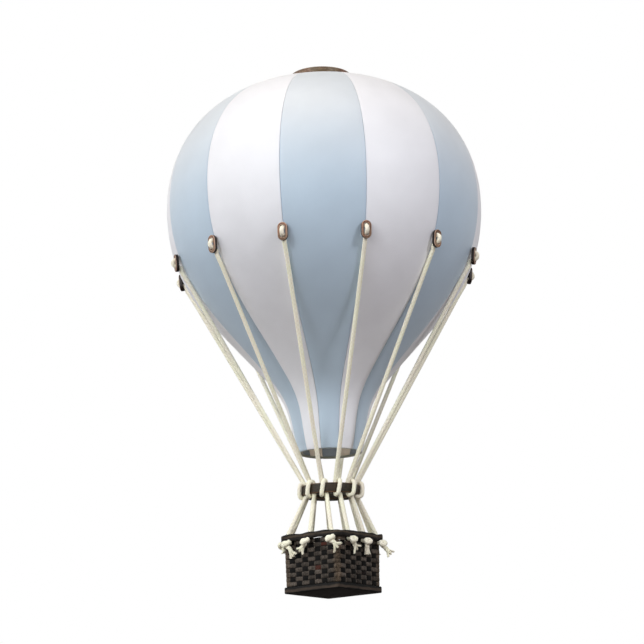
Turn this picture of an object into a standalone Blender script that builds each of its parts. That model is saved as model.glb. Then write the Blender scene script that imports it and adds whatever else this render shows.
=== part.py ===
"""A decorative model hot air balloon: a shell of twelve gores hung from a crown disc, with twelve
ropes that run from slotted buttons through a wooden ring to a woven basket.

Lengths are in metres and +Z is up. The origin is the middle of the crown disc's top face, where the
model hangs. Azimuth 0 faces -Y and grows towards +X.
"""

import math
from collections import namedtuple

import bmesh
import bpy
from mathutils import Matrix, Vector
from mathutils.geometry import interpolate_bezier

GAP = 0.0003  # left between two pieces that touch

# Crown disc
DISC_RADIUS = 0.0272
DISC_HEIGHT = 0.0078
DISC_HOLE_RADIUS = 0.0015
DISC_EDGE = 0.0008
DISC_SIDES = 36

# Envelope: its outline is three curves, crown to belly, belly to cone and cone to mouth
GORE_COUNT = 12
GORE_WALL = 0.004
GORE_ROWS = 8  # on each of the outline's curves
GORE_COLUMNS = 3
OUTLINE_STEPS = 64  # on each curve, where a place on the outline is looked for
CROWN_Z = -(DISC_HEIGHT + GAP)
CROWN_HOLE_RADIUS = 0.005
CROWN_REACH = 0.0987
BELLY_RADIUS = 0.140
BELLY_Z = CROWN_Z - 0.1187
BELLY_RISE = 0.0619
BELLY_FALL = 0.0727
CONE_RADIUS = 0.052
CONE_Z = CROWN_Z - 0.2747
CONE_SLOPE = math.radians(39.9)
CONE_RISE = 0.0664
CONE_FALL = 0.0322
MOUTH_RADIUS = 0.0279
MOUTH_Z = CROWN_Z - 0.3388
MOUTH_SLOPE = math.radians(16.3)
MOUTH_RISE = 0.0293

# Slotted buttons, one over each seam; the rope under its lower end tilts each one
BUTTON_LENGTH = 0.0155
BUTTON_WIDTH = 0.0086
BUTTON_THICKNESS = 0.0032
BUTTON_EDGE = 0.0006
SLOT_LENGTH = 0.0108
SLOT_WIDTH = 0.0046
BUTTON_Z = CROWN_Z - 0.1729
BUTTON_TILT = math.radians(17)
BUTTON_LIFT = BUTTON_LENGTH / 2 * math.sin(BUTTON_TILT) + GAP

# Ropes
ROPE_RADIUS = 0.0018
ROPE_SIDES = 6
ROPE_CLEAR = ROPE_RADIUS + GAP  # from a surface to the middle of a rope on it
ROPE_END_SPREAD = 1.5  # of the frayed end, times the rope's radius
BUTTON_KNOT = (0.0019, 0.0046, 0.0033)  # half sizes across, along and out of the button
BUTTON_KNOT_RISE = 0.0004  # of the knot's middle from the button's front
BASKET_KNOT = (0.0040, 0.0025, 0.0025)  # half sizes along, out of and down the basket's side
BASKET_KNOT_REACH = 0.0332  # from the basket's middle
BASKET_KNOT_DROP = 0.0030  # below the rim

# Ring that gathers the ropes, with one oval hole for each rope's two passes
RING_RADIUS = 0.026
RING_BORE_RADIUS = 0.014
RING_HEIGHT = 0.0085
RING_Z = -0.380
RING_EDGE = 0.0008
RING_SIDES = 36
ROPE_CIRCLE_RADIUS = 0.0221
PASS_OFFSET = 0.0020  # of each pass from the middle of its hole
OVAL_HALF_WIDTH = ROPE_CLEAR + 0.0001
ENTRY_OUT = 0.0003  # of a coming rope from the circle of the holes
ENTRY_RISE = 0.0010  # of the same point over the ring
HOLE_STEPS = 5  # on each round end of a hole

# Square basket, turned so that one of its corners nearly faces the front
BASKET_TURN = math.radians(51)
RIM_TOP_Z = -0.4183
RIM_HEIGHT = 0.0047
RIM_HALF = 0.0320
RIM_INNER_HALF = 0.0294
RIM_CORNER = 0.0035
RIM_EDGE = 0.0010
WEAVE_HALF = 0.0300
WEAVE_TAPER = 0.0006
WEAVE_WALL = 0.0026
WEAVE_CORNER = 0.0025
BASE_BOTTOM_Z = -0.4682
BASE_HEIGHT = 0.0055
BASE_HALF = 0.0303
BASE_CORNER = 0.0022
BASE_EDGE = 0.0008
NOTCH_WIDTH = 2 * ROPE_CLEAR + 0.0002
NOTCH_THROUGH = 2.4 * WEAVE_WALL
NOTCH_HEIGHT = 4 * ROPE_CLEAR

RIM_BOTTOM_Z = RIM_TOP_Z - RIM_HEIGHT
BASE_TOP_Z = BASE_BOTTOM_Z + BASE_HEIGHT

# Each rope: azimuth of its button in degrees, side to which it winds round the ring (1, or 0 where
# it only goes through), number of the basket side that it ends on, its places along that side
# from the middle inside the rim and at its knot, and how far its tail leans aside and hangs below
# the knot
Rope = namedtuple("Rope", "azimuth wind side inside knot lean drop")
ROPES = (
    Rope(-75, 1, 3, -0.0270, -0.0227, 0.0070, 0.0130),
    Rope(-45, 1, 3, -0.0021, -0.0017, -0.0070, 0.0085),
    Rope(-15, 1, 3, 0.0215, 0.0260, 0.0065, 0.0090),
    Rope(15, 1, 0, -0.0120, -0.0142, 0.0065, 0.0090),
    Rope(45, 1, 0, 0.0096, 0.0056, 0.0012, 0.0120),
    Rope(75, 1, 0, 0.0270, 0.0263, 0.0060, 0.0090),
    Rope(105, 0, 1, -0.0220, -0.0190, -0.0030, 0.0100),
    Rope(135, 0, 1, -0.0105, -0.0070, 0.0040, 0.0110),
    Rope(165, 0, 1, 0.0063, 0.0090, 0.0010, 0.0120),
    Rope(195, 0, 1, 0.0243, 0.0215, -0.0050, 0.0100),
    Rope(225, 0, 2, -0.0050, -0.0080, 0.0060, 0.0095),
    Rope(255, 0, 2, 0.0220, 0.0253, -0.0010, 0.0110),
)


def paint(name, colour, roughness):
    """A material of one colour, for the solids."""
    material = bpy.data.materials.new(name)
    material.use_nodes = True
    shader = material.node_tree.nodes["Principled BSDF"]
    shader.inputs["Base Color"].default_value = (*colour, 1)
    shader.inputs["Roughness"].default_value = roughness
    shader.inputs["Metallic"].default_value = 0
    return material


def outward(azimuth):
    return Vector((math.sin(azimuth), -math.cos(azimuth), 0))


def sideways(azimuth):
    return Vector((math.cos(azimuth), math.sin(azimuth), 0))


def at(azimuth, radius, z, aside=0.0):
    """The point at a radius and height on an azimuth, moved aside towards greater azimuths."""
    return outward(azimuth) * radius + sideways(azimuth) * aside + Vector((0, 0, z))


def loft(name, loops, material, ring=False):
    """A solid through loops of equal length, with capped ends, or closed round when ring is set."""
    mesh = bmesh.new()
    skin(mesh, loops, ring)
    return finish(name, mesh, material)


def skin(mesh, loops, ring=False):
    rows = [[mesh.verts.new(point) for point in loop] for loop in loops]
    pairs = list(zip(rows, rows[1:]))
    if ring:
        pairs.append((rows[-1], rows[0]))
    else:
        mesh.faces.new(rows[0])
        mesh.faces.new(rows[-1])
    for low, high in pairs:
        for here in range(len(low)):
            following = (here + 1) % len(low)
            mesh.faces.new((low[here], low[following], high[following], high[here]))


def finish(name, mesh, material):
    """Turns a bmesh into an object of the scene."""
    bmesh.ops.recalc_face_normals(mesh, faces=mesh.faces)
    data = bpy.data.meshes.new(name)
    mesh.to_mesh(data)
    mesh.free()
    data.materials.append(material)
    data.shade_smooth()
    data.set_sharp_from_angle(angle=math.radians(35))
    made = bpy.data.objects.new(name, data)
    bpy.context.scene.collection.objects.link(made)
    return made


def hide_cutter(cutter):
    cutter.hide_render = True
    cutter.display_type = "WIRE"


def combine(target, other, operation):
    """Adds or cuts another object's shape, which then stays as a hidden helper."""
    hide_cutter(other)
    modifier = target.modifiers.new(operation.title(), "BOOLEAN")
    modifier.operation = operation
    modifier.solver = "EXACT"
    modifier.object = other


def circle(radius, sides, z):
    turn = 2 * math.pi / sides
    return [at(step * turn, radius, z) for step in range(sides)]


def oval(length, width, z, steps=7):
    """A loop with straight sides and round ends, its length along Y."""
    points = []
    for end in (1, -1):
        middle = Vector((0, end * (length - width) / 2, z))
        for step in range(steps + 1):
            turn = math.pi * step / steps
            arm = Vector((end * math.cos(turn), end * math.sin(turn), 0))
            points.append(middle + arm * width / 2)
    return points


def square(half, corner, z, steps=3):
    """A square loop with rounded corners, its sides along X and Y."""
    points = []
    for quarter in range(4):
        for step in range(steps + 1):
            turn = math.pi / 2 * (quarter + step / steps)
            middle = math.pi / 2 * quarter + math.pi / 4
            inset = (half - corner) * math.sqrt(2)
            points.append(
                Vector(
                    (
                        inset * math.cos(middle) + corner * math.cos(turn),
                        inset * math.sin(middle) + corner * math.sin(turn),
                        z,
                    )
                )
            )
    return points


def envelope_outline(steps):
    """(radius, z) points of the outer surface from crown to mouth, with steps on each of its curves."""
    crown = Vector((0, CROWN_Z))
    belly = Vector((BELLY_RADIUS, BELLY_Z))
    cone = Vector((CONE_RADIUS, CONE_Z))
    mouth = Vector((MOUTH_RADIUS, MOUTH_Z))
    cone_way = Vector((math.sin(CONE_SLOPE), math.cos(CONE_SLOPE)))
    mouth_way = Vector((math.sin(MOUTH_SLOPE), math.cos(MOUTH_SLOPE)))
    curves = (
        (crown, crown + Vector((CROWN_REACH, 0)), belly + Vector((0, BELLY_RISE)), belly),
        (belly, belly - Vector((0, BELLY_FALL)), cone + cone_way * CONE_RISE, cone),
        (cone, cone - cone_way * CONE_FALL, mouth + mouth_way * MOUTH_RISE, mouth),
    )
    points = [Vector((CROWN_HOLE_RADIUS, CROWN_Z))]
    for start, leaving, arriving, end in curves:
        points += interpolate_bezier(start, leaving, arriving, end, steps + 1)[1:]
    return points


def outline_normals(points):
    """The outward normal at each point of an outline that runs from crown to mouth."""
    normals = []
    for index in range(len(points)):
        before = points[max(index - 1, 0)]
        after = points[min(index + 1, len(points) - 1)]
        along = (after - before).normalized()
        normals.append(Vector((-along.y, along.x)))
    return normals


def make_gore(index, material):
    """One gore of the envelope, a curved wall from crown to mouth."""
    outer = envelope_outline(GORE_ROWS)
    inner = [point - normal * GORE_WALL for point, normal in zip(outer, outline_normals(outer))]
    azimuth = 2 * math.pi * index / GORE_COUNT
    loops = []
    for out_point, in_point in zip(outer, inner):
        loop = []
        for radius, z, way in ((out_point.x, out_point.y, 1), (in_point.x, in_point.y, -1)):
            half = math.pi / GORE_COUNT - GAP / 2 / radius
            for column in range(GORE_COLUMNS + 1):
                turn = way * half * (2 * column / GORE_COLUMNS - 1)
                loop.append(at(azimuth + turn, radius, z))
        loops.append(loop)
    return loft(f"gore_{index + 1:02d}", loops, material)


def button_frame(azimuth):
    """The middle of a button's back face, and the ways across, along and out of it."""
    outline = envelope_outline(OUTLINE_STEPS)
    normals = outline_normals(outline)
    seat = min(range(len(outline)), key=lambda index: abs(outline[index].y - BUTTON_Z))
    out = outward(azimuth) * normals[seat].x + Vector((0, 0, normals[seat].y))
    across = sideways(azimuth)
    along = out.cross(across)
    tilt = Matrix.Rotation(-BUTTON_TILT, 3, across)
    middle = at(azimuth, outline[seat].x, outline[seat].y) + out * BUTTON_LIFT
    return middle, across, tilt @ along, tilt @ out


def make_button_mesh(material):
    """An oval plate with an oval slot, its back face on the plane z = 0."""
    edge = 2 * BUTTON_EDGE
    loops = (
        oval(BUTTON_LENGTH, BUTTON_WIDTH, 0),
        oval(BUTTON_LENGTH, BUTTON_WIDTH, BUTTON_THICKNESS - BUTTON_EDGE),
        oval(BUTTON_LENGTH - edge, BUTTON_WIDTH - edge, BUTTON_THICKNESS),
        oval(SLOT_LENGTH, SLOT_WIDTH, BUTTON_THICKNESS),
        oval(SLOT_LENGTH, SLOT_WIDTH, 0),
    )
    return loft("button_01", loops, material, ring=True)


def place_button(made, azimuth):
    middle, across, along, out = button_frame(azimuth)
    turned = Matrix((across, along, out)).transposed().to_4x4()
    made.matrix_world = Matrix.Translation(middle) @ turned


def leave_point(target):
    """Where a taut rope that is on its way to a (radius, z) target leaves the envelope."""
    outline = envelope_outline(OUTLINE_STEPS)
    on_wall = [
        point + normal * ROPE_CLEAR for point, normal in zip(outline, outline_normals(outline))
    ]
    lower = [point for point in on_wall if CONE_Z < point.y < BUTTON_Z]
    return max(lower, key=lambda point: math.atan2(point.x - target.x, point.y - target.y))


def route_at_button(azimuth):
    """The middle of the rope from its knot, through the slot and under the button's lower end."""
    middle, across, along, out = button_frame(azimuth)
    # along the button, out of its back face
    places = (
        (-0.0010, 0.0028),
        (-0.0026, 0.0016),
        (-0.0033, -0.0008),
        (-0.0049, -0.0021),
        (-0.0070, -0.0021),
    )
    return [middle + along * way + out * height for way, height in places]


def route_on_ring(azimuth, side):
    """Down through the ring, out under it, up its face, over the top and down through it again.

    A rope that winds to neither side only slants down through its hole.
    """
    top = RING_HEIGHT / 2
    near = ROPE_CIRCLE_RADIUS
    soft = 0.0008
    if side == 0:
        return [
            at(azimuth, near, RING_Z + top - soft),
            at(azimuth, near, RING_Z - top, -PASS_OFFSET),
        ]
    wall = near + OVAL_HALF_WIDTH
    bend = ROPE_CLEAR * math.sqrt(0.5)
    face = RING_RADIUS + ROPE_CLEAR
    # radius, height above the ring's middle, share of the way from first pass to second
    places = (
        (near, top - soft, -1.0),
        (near, soft - top, -1.0),
        (wall - bend, -top - bend, -0.97),
        (wall, -top - ROPE_CLEAR, -0.88),
        (RING_RADIUS - soft, -top - ROPE_CLEAR, -0.65),
        (face - soft, -top - ROPE_CLEAR + soft, -0.45),
        (face, soft - top, -0.25),
        (face, top - soft, 0.40),
        (face - soft, top + ROPE_CLEAR - soft, 0.55),
        (RING_RADIUS - soft, top + ROPE_CLEAR, 0.70),
        (wall, top + ROPE_CLEAR, 0.90),
        (wall - bend, top + bend, 0.97),
        (near, top - soft, 1.0),
        (near, -top, 1.0),
    )
    return [
        at(azimuth, radius, RING_Z + height, side * PASS_OFFSET * share)
        for radius, height, share in places
    ]


def side_azimuth(side):
    return BASKET_TURN + side * math.pi / 2


def route_at_basket(row):
    """Down inside the rim, out under it and through the weave, and down outside as a frayed end."""
    inner = RIM_INNER_HALF - ROPE_CLEAR
    bend = ROPE_CLEAR * math.sqrt(0.5)
    low = RIM_BOTTOM_Z
    knot_z = low - BASKET_KNOT_DROP
    # distance out from the basket's middle, z, place along the side
    places = (
        (inner, RIM_TOP_Z, row.inside),
        (inner, low + bend, row.knot),
        (inner, low, row.knot),
        (RIM_INNER_HALF - bend, low - bend, row.knot),
        (RIM_INNER_HALF, low - ROPE_CLEAR, row.knot),
        (WEAVE_HALF + 0.0008, low - ROPE_CLEAR, row.knot),
        (WEAVE_HALF + 0.0023, low - 0.0024, row.knot),
        (WEAVE_HALF + 0.0032, knot_z - 0.0006, row.knot),
        (WEAVE_HALF + 0.0035, knot_z - row.drop * 0.25, row.knot + row.lean * 0.25),
        (WEAVE_HALF + 0.0034, knot_z - row.drop * 0.60, row.knot + row.lean * 0.60),
        (WEAVE_HALF + 0.0032, knot_z - row.drop, row.knot + row.lean),
    )
    return [at(side_azimuth(row.side), reach, z, place) for reach, z, place in places]


def make_rope(number, row, material):
    """One rope: its knot in the button, its taut runs, its turn round the ring and its basket knot."""
    azimuth = math.radians(row.azimuth)
    ring_top = RING_Z + RING_HEIGHT / 2
    ring_entry = Vector((ROPE_CIRCLE_RADIUS + ENTRY_OUT, ring_top + ENTRY_RISE))
    leave = leave_point(ring_entry)
    points = route_at_button(azimuth)
    points.append(at(azimuth, leave.x, leave.y))
    points.append(at(azimuth, ring_entry.x, ring_entry.y, -row.wind * PASS_OFFSET))
    points += route_on_ring(azimuth, row.wind)
    points += route_at_basket(row)
    radii = [ROPE_RADIUS] * (len(points) - 1) + [ROPE_RADIUS * ROPE_END_SPREAD]
    name = f"rope_{number:02d}"
    rope = loft(name, tube_loops(points, radii), material)
    combine(rope, make_knots(name, row, material), "UNION")
    return rope


def tube_loops(points, radii):
    """Loops of a tube round a line of points, turned as little as possible from one to the next."""
    loops = []
    arm = None
    for index, (point, radius) in enumerate(zip(points, radii)):
        before = points[max(index - 1, 0)]
        after = points[min(index + 1, len(points) - 1)]
        way = ((point - before).normalized() + (after - point).normalized()).normalized()
        arm = way.orthogonal() if arm is None else arm - way * arm.dot(way)
        arm.normalize()
        other = way.cross(arm)
        steps = [2 * math.pi * step / ROPE_SIDES for step in range(ROPE_SIDES)]
        loops.append([point + (arm * math.cos(t) + other * math.sin(t)) * radius for t in steps])
    return loops


def make_knots(name, row, material):
    """The lump in the button's slot and the lump outside the basket, as one helper object."""
    middle, across, along, out = button_frame(math.radians(row.azimuth))
    middle = middle + out * (BUTTON_THICKNESS + BUTTON_KNOT_RISE)
    facing = side_azimuth(row.side)
    knot_z = RIM_BOTTOM_Z - BASKET_KNOT_DROP
    # middle, the three ways of its half sizes, its half sizes
    lumps = (
        (middle, (across, along, out), BUTTON_KNOT),
        (
            at(facing, BASKET_KNOT_REACH, knot_z, row.knot),
            (sideways(facing), outward(facing), Vector((0, 0, 1))),
            BASKET_KNOT,
        ),
    )
    mesh = bmesh.new()
    for centre, ways, halves in lumps:
        turned = Matrix(ways).transposed().to_4x4()
        sized = Matrix.Diagonal((*halves, 1))
        where = Matrix.Translation(centre) @ turned @ sized
        bmesh.ops.create_uvsphere(mesh, u_segments=8, v_segments=6, radius=1, matrix=where)
    return finish(f"{name}_knots", mesh, material)


def make_disc(material):
    """The wooden disc on the crown, with the small hole that the hanging cord goes through."""
    low, high = -DISC_HEIGHT, 0
    loops = (
        circle(DISC_RADIUS - DISC_EDGE, DISC_SIDES, low),
        circle(DISC_RADIUS, DISC_SIDES, low + DISC_EDGE),
        circle(DISC_RADIUS, DISC_SIDES, high - DISC_EDGE),
        circle(DISC_RADIUS - DISC_EDGE, DISC_SIDES, high),
        circle(DISC_HOLE_RADIUS, DISC_SIDES, high),
        circle(DISC_HOLE_RADIUS, DISC_SIDES, low),
    )
    return loft("crown_disc", loops, material, ring=True)


def make_ring(material):
    """The wooden ring, with an oval hole for each rope."""
    low = RING_Z - RING_HEIGHT / 2
    high = RING_Z + RING_HEIGHT / 2
    loops = (
        circle(RING_RADIUS - RING_EDGE, RING_SIDES, low),
        circle(RING_RADIUS, RING_SIDES, low + RING_EDGE),
        circle(RING_RADIUS, RING_SIDES, high - RING_EDGE),
        circle(RING_RADIUS - RING_EDGE, RING_SIDES, high),
        circle(RING_BORE_RADIUS, RING_SIDES, high),
        circle(RING_BORE_RADIUS, RING_SIDES, low),
    )
    ring = loft("ring", loops, material, ring=True)
    combine(ring, make_ring_holes(material), "DIFFERENCE")
    return ring


def make_ring_holes(material):
    width = 2 * OVAL_HALF_WIDTH
    length = 2 * PASS_OFFSET + width
    mesh = bmesh.new()
    for row in ROPES:
        azimuth = math.radians(row.azimuth)
        turned = Matrix.Rotation(azimuth + math.pi / 2, 4, "Z")
        loops = []
        for z in (RING_Z - RING_HEIGHT, RING_Z + RING_HEIGHT):
            placed = Matrix.Translation(at(azimuth, ROPE_CIRCLE_RADIUS, z)) @ turned
            loops.append([placed @ point for point in oval(length, width, 0, HOLE_STEPS)])
        skin(mesh, loops)
    return finish("ring_holes", mesh, material)


def make_weave(material):
    """The basket's four woven sides, notched under the rim where the ropes come through."""
    low = BASE_TOP_Z + GAP
    high = RIM_BOTTOM_Z - GAP
    inner = WEAVE_HALF - WEAVE_WALL
    loops = (
        square(WEAVE_HALF - WEAVE_TAPER, WEAVE_CORNER, low),
        square(WEAVE_HALF, WEAVE_CORNER, high),
        square(inner, WEAVE_CORNER / 2, high),
        square(inner - WEAVE_TAPER, WEAVE_CORNER / 2, low),
    )
    weave = loft("basket_weave", loops, material, ring=True)
    weave.rotation_euler.z = BASKET_TURN
    combine(weave, make_notches(material), "DIFFERENCE")
    return weave


def make_notches(material):
    mesh = bmesh.new()
    for row in ROPES:
        azimuth = side_azimuth(row.side)
        middle = at(azimuth, WEAVE_HALF - WEAVE_WALL / 2, RIM_BOTTOM_Z - GAP, row.knot)
        turned = Matrix.Rotation(azimuth, 4, "Z")
        sized = Matrix.Diagonal((NOTCH_WIDTH, NOTCH_THROUGH, NOTCH_HEIGHT, 1))
        where = Matrix.Translation(middle) @ turned @ sized
        bmesh.ops.create_cube(mesh, size=1, matrix=where)
    return finish("weave_notches", mesh, material)


def make_rim(material):
    """The bound rim that lies on the weave."""
    low, high = RIM_BOTTOM_Z, RIM_TOP_Z
    inner_corner = RIM_CORNER / 2
    loops = (
        square(RIM_HALF - RIM_EDGE, RIM_CORNER - RIM_EDGE, low),
        square(RIM_HALF, RIM_CORNER, low + RIM_EDGE),
        square(RIM_HALF, RIM_CORNER, high - RIM_EDGE),
        square(RIM_HALF - RIM_EDGE, RIM_CORNER - RIM_EDGE, high),
        square(RIM_INNER_HALF, inner_corner, high),
        square(RIM_INNER_HALF, inner_corner, low),
    )
    rim = loft("basket_rim", loops, material, ring=True)
    rim.rotation_euler.z = BASKET_TURN
    return rim


def make_base(material):
    """The board that the weave stands on."""
    loops = (
        square(BASE_HALF - BASE_EDGE, BASE_CORNER - BASE_EDGE, BASE_BOTTOM_Z),
        square(BASE_HALF, BASE_CORNER, BASE_BOTTOM_Z + BASE_EDGE),
        square(BASE_HALF, BASE_CORNER, BASE_TOP_Z),
    )
    base = loft("basket_base", loops, material)
    base.rotation_euler.z = BASKET_TURN
    return base


def main():
    for old in list(bpy.data.objects):
        bpy.data.objects.remove(old)
    blue = paint("pale_blue_paper", (0.52, 0.62, 0.74), 0.55)
    white = paint("white_paper", (0.82, 0.82, 0.86), 0.55)
    disc_wood = paint("disc_wood", (0.14, 0.09, 0.06), 0.5)
    button_wood = paint("button_wood", (0.12, 0.045, 0.025), 0.4)
    ring_wood = paint("ring_wood", (0.06, 0.045, 0.03), 0.5)
    cotton = paint("cotton_rope", (0.75, 0.70, 0.58), 0.9)
    rattan = paint("rattan_strip", (0.035, 0.028, 0.025), 0.5)
    rim_rattan = paint("rim_rattan", (0.03, 0.022, 0.018), 0.5)
    board = paint("base_board", (0.05, 0.035, 0.028), 0.5)

    make_disc(disc_wood)
    for index in range(GORE_COUNT):
        make_gore(index, blue if index % 2 == 0 else white)
    first_button = make_button_mesh(button_wood)
    for number, row in enumerate(ROPES, start=1):
        button = first_button
        if number > 1:
            button = bpy.data.objects.new(f"button_{number:02d}", first_button.data)
            bpy.context.scene.collection.objects.link(button)
        place_button(button, math.radians(row.azimuth))
        make_rope(number, row, cotton)
    make_ring(ring_wood)
    make_rim(rim_rattan)
    make_weave(rattan)
    make_base(board)


main()
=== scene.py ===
"""Dresses a decorative model hot air balloon: a paper-covered shell of twelve gores under a turned
disc, slotted wooden buttons, braided cotton ropes, a wooden ring and a woven rattan basket.

Lengths are in metres and +Z is up. The origin is the middle of the crown disc's top face. Azimuth 0
faces -Y and grows towards +X.
"""

import math
from functools import partial

import bmesh
import bpy
from bpy.props import FloatProperty, FloatVectorProperty, IntProperty, PointerProperty
from mathutils import Matrix, Vector, noise
from mathutils.geometry import interpolate_bezier


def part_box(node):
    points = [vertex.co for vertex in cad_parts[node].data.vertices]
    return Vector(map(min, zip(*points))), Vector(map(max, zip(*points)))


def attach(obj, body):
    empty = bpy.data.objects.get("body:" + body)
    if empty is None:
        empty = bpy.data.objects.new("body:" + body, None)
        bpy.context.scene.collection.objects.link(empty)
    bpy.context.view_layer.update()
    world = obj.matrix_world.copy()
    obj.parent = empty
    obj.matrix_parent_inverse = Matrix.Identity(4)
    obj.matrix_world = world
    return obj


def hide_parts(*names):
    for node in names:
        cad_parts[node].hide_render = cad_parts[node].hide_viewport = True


bl_info = {
    "name": "Model Balloon",
    "version": (1, 0, 0),
    "blender": (4, 5, 0),
    "location": "View3D > Sidebar > Balloon",
    "description": "Builds the finished surfaces of a decorative model hot air balloon",
    "category": "Add Mesh",
}

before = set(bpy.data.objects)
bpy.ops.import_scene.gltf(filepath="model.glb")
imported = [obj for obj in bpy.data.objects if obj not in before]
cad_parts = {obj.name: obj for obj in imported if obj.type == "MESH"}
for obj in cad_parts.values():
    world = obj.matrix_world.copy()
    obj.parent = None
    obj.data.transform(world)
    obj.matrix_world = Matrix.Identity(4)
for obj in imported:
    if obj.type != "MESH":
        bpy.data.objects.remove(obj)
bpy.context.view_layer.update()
BODY = "root"

GAP = 0.0003  # left between two pieces that touch

# Crown disc
DISC_LOW, DISC_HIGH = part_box("crown_disc")
DISC_HOLE_RADIUS = 0.0015

# Envelope: its outline is three curves, crown to belly, belly to cone and cone to mouth
GORE_COUNT = 12
CROWN_Z = DISC_LOW.z - GAP
CROWN_HOLE_RADIUS = 0.005
CROWN_REACH = 0.0987
BELLY_RADIUS = 0.140
BELLY_Z = CROWN_Z - 0.1187
BELLY_RISE = 0.0619
BELLY_FALL = 0.0727
CONE_RADIUS = 0.052
CONE_Z = CROWN_Z - 0.2747
CONE_SLOPE = math.radians(39.9)
CONE_RISE = 0.0664
CONE_FALL = 0.0322
MOUTH_RADIUS = 0.0279
MOUTH_Z = CROWN_Z - 0.3388
MOUTH_SLOPE = math.radians(16.3)
MOUTH_RISE = 0.0293
OUTLINE_STEPS = 64  # on each curve, where a place on the outline is looked for
LIP_STEPS = 10

# Buttons
BUTTON_LENGTH = 0.0155
BUTTON_WIDTH = 0.0086
BUTTON_THICKNESS = 0.0032
SLOT_LENGTH = 0.0108
SLOT_WIDTH = 0.0046
BUTTON_END_STEPS = 24
BUTTON_Z = CROWN_Z - 0.1729
BUTTON_TILT = math.radians(17)
BUTTON_LIFT = BUTTON_LENGTH / 2 * math.sin(BUTTON_TILT) + GAP
BUTTON_SEED = 4

# Ropes
ROPE_RADIUS = 0.0018
ROPE_CLEAR = ROPE_RADIUS + GAP  # from a surface to the middle of a rope on it
ROPE_STRANDS = 3
BASKET_KNOT_REACH = 0.0332  # from the basket's middle
BASKET_KNOT_DROP = 0.0030  # below the rim
TAIL_REACH = 0.0034  # from the weave
TAIL_SHARES = (0.3, 0.5)  # of the tail's drop, where the rope still passes
FRAY_SHARE = 0.42  # of the tail's drop, where the frayed end starts
YARN_POINTS = 9
YARN_SIDES = 6

# Ring
RING_LOW, RING_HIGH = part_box("ring")
RING_RADIUS = RING_HIGH.x
RING_BORE_RADIUS = 0.014
RING_HEIGHT = RING_HIGH.z - RING_LOW.z
RING_Z = (RING_HIGH.z + RING_LOW.z) / 2
ROPE_CIRCLE_RADIUS = 0.0221
PASS_OFFSET = 0.0020  # of each pass from the middle of its hole
OVAL_HALF_WIDTH = ROPE_CLEAR + 0.0001
HOLE_END_STEPS = 12
ENTRY_OUT = 0.0003  # of a coming rope from the circle of the holes
ENTRY_RISE = 0.0010  # of the same point over the ring

# Square basket, turned so that one of its corners nearly faces the front
BASKET_TURN = math.radians(51)
RIM_BOTTOM_Z, RIM_TOP_Z = (corner.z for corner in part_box("basket_rim"))
RIM_HALF = 0.0320
RIM_INNER_HALF = 0.0294
RIM_CORNER = 0.0035
RIM_STEPS = 56  # on each side
RIM_AROUND = 20
WEAVE_HALF = 0.0300
WEAVE_TAPER = 0.0006
WEAVE_CORNER = 0.0017
WEAVE_CLEAR = 0.0001  # inside the basket's outer face
WEAVE_STEP = 0.0009  # between two sections of a strip
WEAVE_POINTS = 6  # from one upright to the next
STAKE_POINTS = 4  # from one row to the next
CORNER_WEAR = 0.9  # reach of the wear from a corner, in stake spacings
CORNER_WIDENING = 0.0002
BASE_BOTTOM_Z, BASE_TOP_Z = (corner.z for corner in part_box("basket_base"))
BASE_HALF = 0.0303
BASE_CORNER = 0.0022
BASE_EDGE = 0.0010
BASE_STEPS = 40  # on each side
BAND_ROW = 0.0007  # from one loop of a band to the next on its UV map

# Each rope: azimuth of its button in degrees, side to which it winds round the ring (1, or 0 where
# it only goes through), number of the basket side that it ends on, its places along that side
# from the middle inside the rim and at its knot, how far its tail leans aside, hangs below the
# knot and stands out, and how far the tail's tufts spread
ROPES = (
    (-75, 1, 3, -0.0270, -0.0227, 0.0072, 0.0116, 0.0, 0.0034),
    (-45, 1, 3, -0.0021, -0.0017, -0.0072, 0.0080, 0.0, 0.0040),
    (-15, 1, 3, 0.0215, 0.0260, 0.0072, 0.0090, 0.0, 0.0052),
    (15, 1, 0, -0.0120, -0.0142, 0.0065, 0.0084, 0.0005, 0.0056),
    (45, 1, 0, 0.0096, 0.0056, 0.0010, 0.0112, 0.0, 0.0024),
    (75, 1, 0, 0.0270, 0.0263, 0.0060, 0.0098, 0.0058, 0.0050),
    (105, 0, 1, -0.0220, -0.0190, -0.0030, 0.0100, 0.0, 0.0036),
    (135, 0, 1, -0.0105, -0.0070, 0.0040, 0.0110, 0.0005, 0.0044),
    (165, 0, 1, 0.0063, 0.0090, 0.0010, 0.0120, 0.0, 0.0028),
    (195, 0, 1, 0.0243, 0.0215, -0.0050, 0.0100, 0.0010, 0.0040),
    (225, 0, 2, -0.0050, -0.0080, 0.0060, 0.0095, 0.0, 0.0036),
    (255, 0, 2, 0.0220, 0.0253, -0.0010, 0.0065, 0.0, 0.0032),
)

# Camera: level with the floor, looking up
CAMERA_PLACE = (0, -1.9329, -0.6851)
CAMERA_PITCH = math.radians(13.287)
CAMERA_YAW = math.radians(0.1236)
CAMERA_ROLL = math.radians(-1.3727)
FLOOR_HALF = 12.0

NODE_FAMILIES = ("GeometryNode", "ShaderNode", "FunctionNode")  # the first that has a kind gives it


def colour(code):
    """Linear RGBA of an sRGB hex value."""
    channels = [int(code[place : place + 2], 16) / 255 for place in (1, 3, 5)]
    linear = [c / 12.92 if c <= 0.04045 else ((c + 0.055) / 1.055) ** 2.4 for c in channels]
    return (*linear, 1.0)


def length_setting(name, description, default):
    return FloatProperty(
        name=name, description=description, default=default, min=0, precision=5, unit="LENGTH"
    )


def colour_setting(name, description, code):
    return FloatVectorProperty(
        name=name,
        description=description,
        default=colour(code),
        size=4,
        min=0,
        max=1,
        subtype="COLOR",
    )


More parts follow.
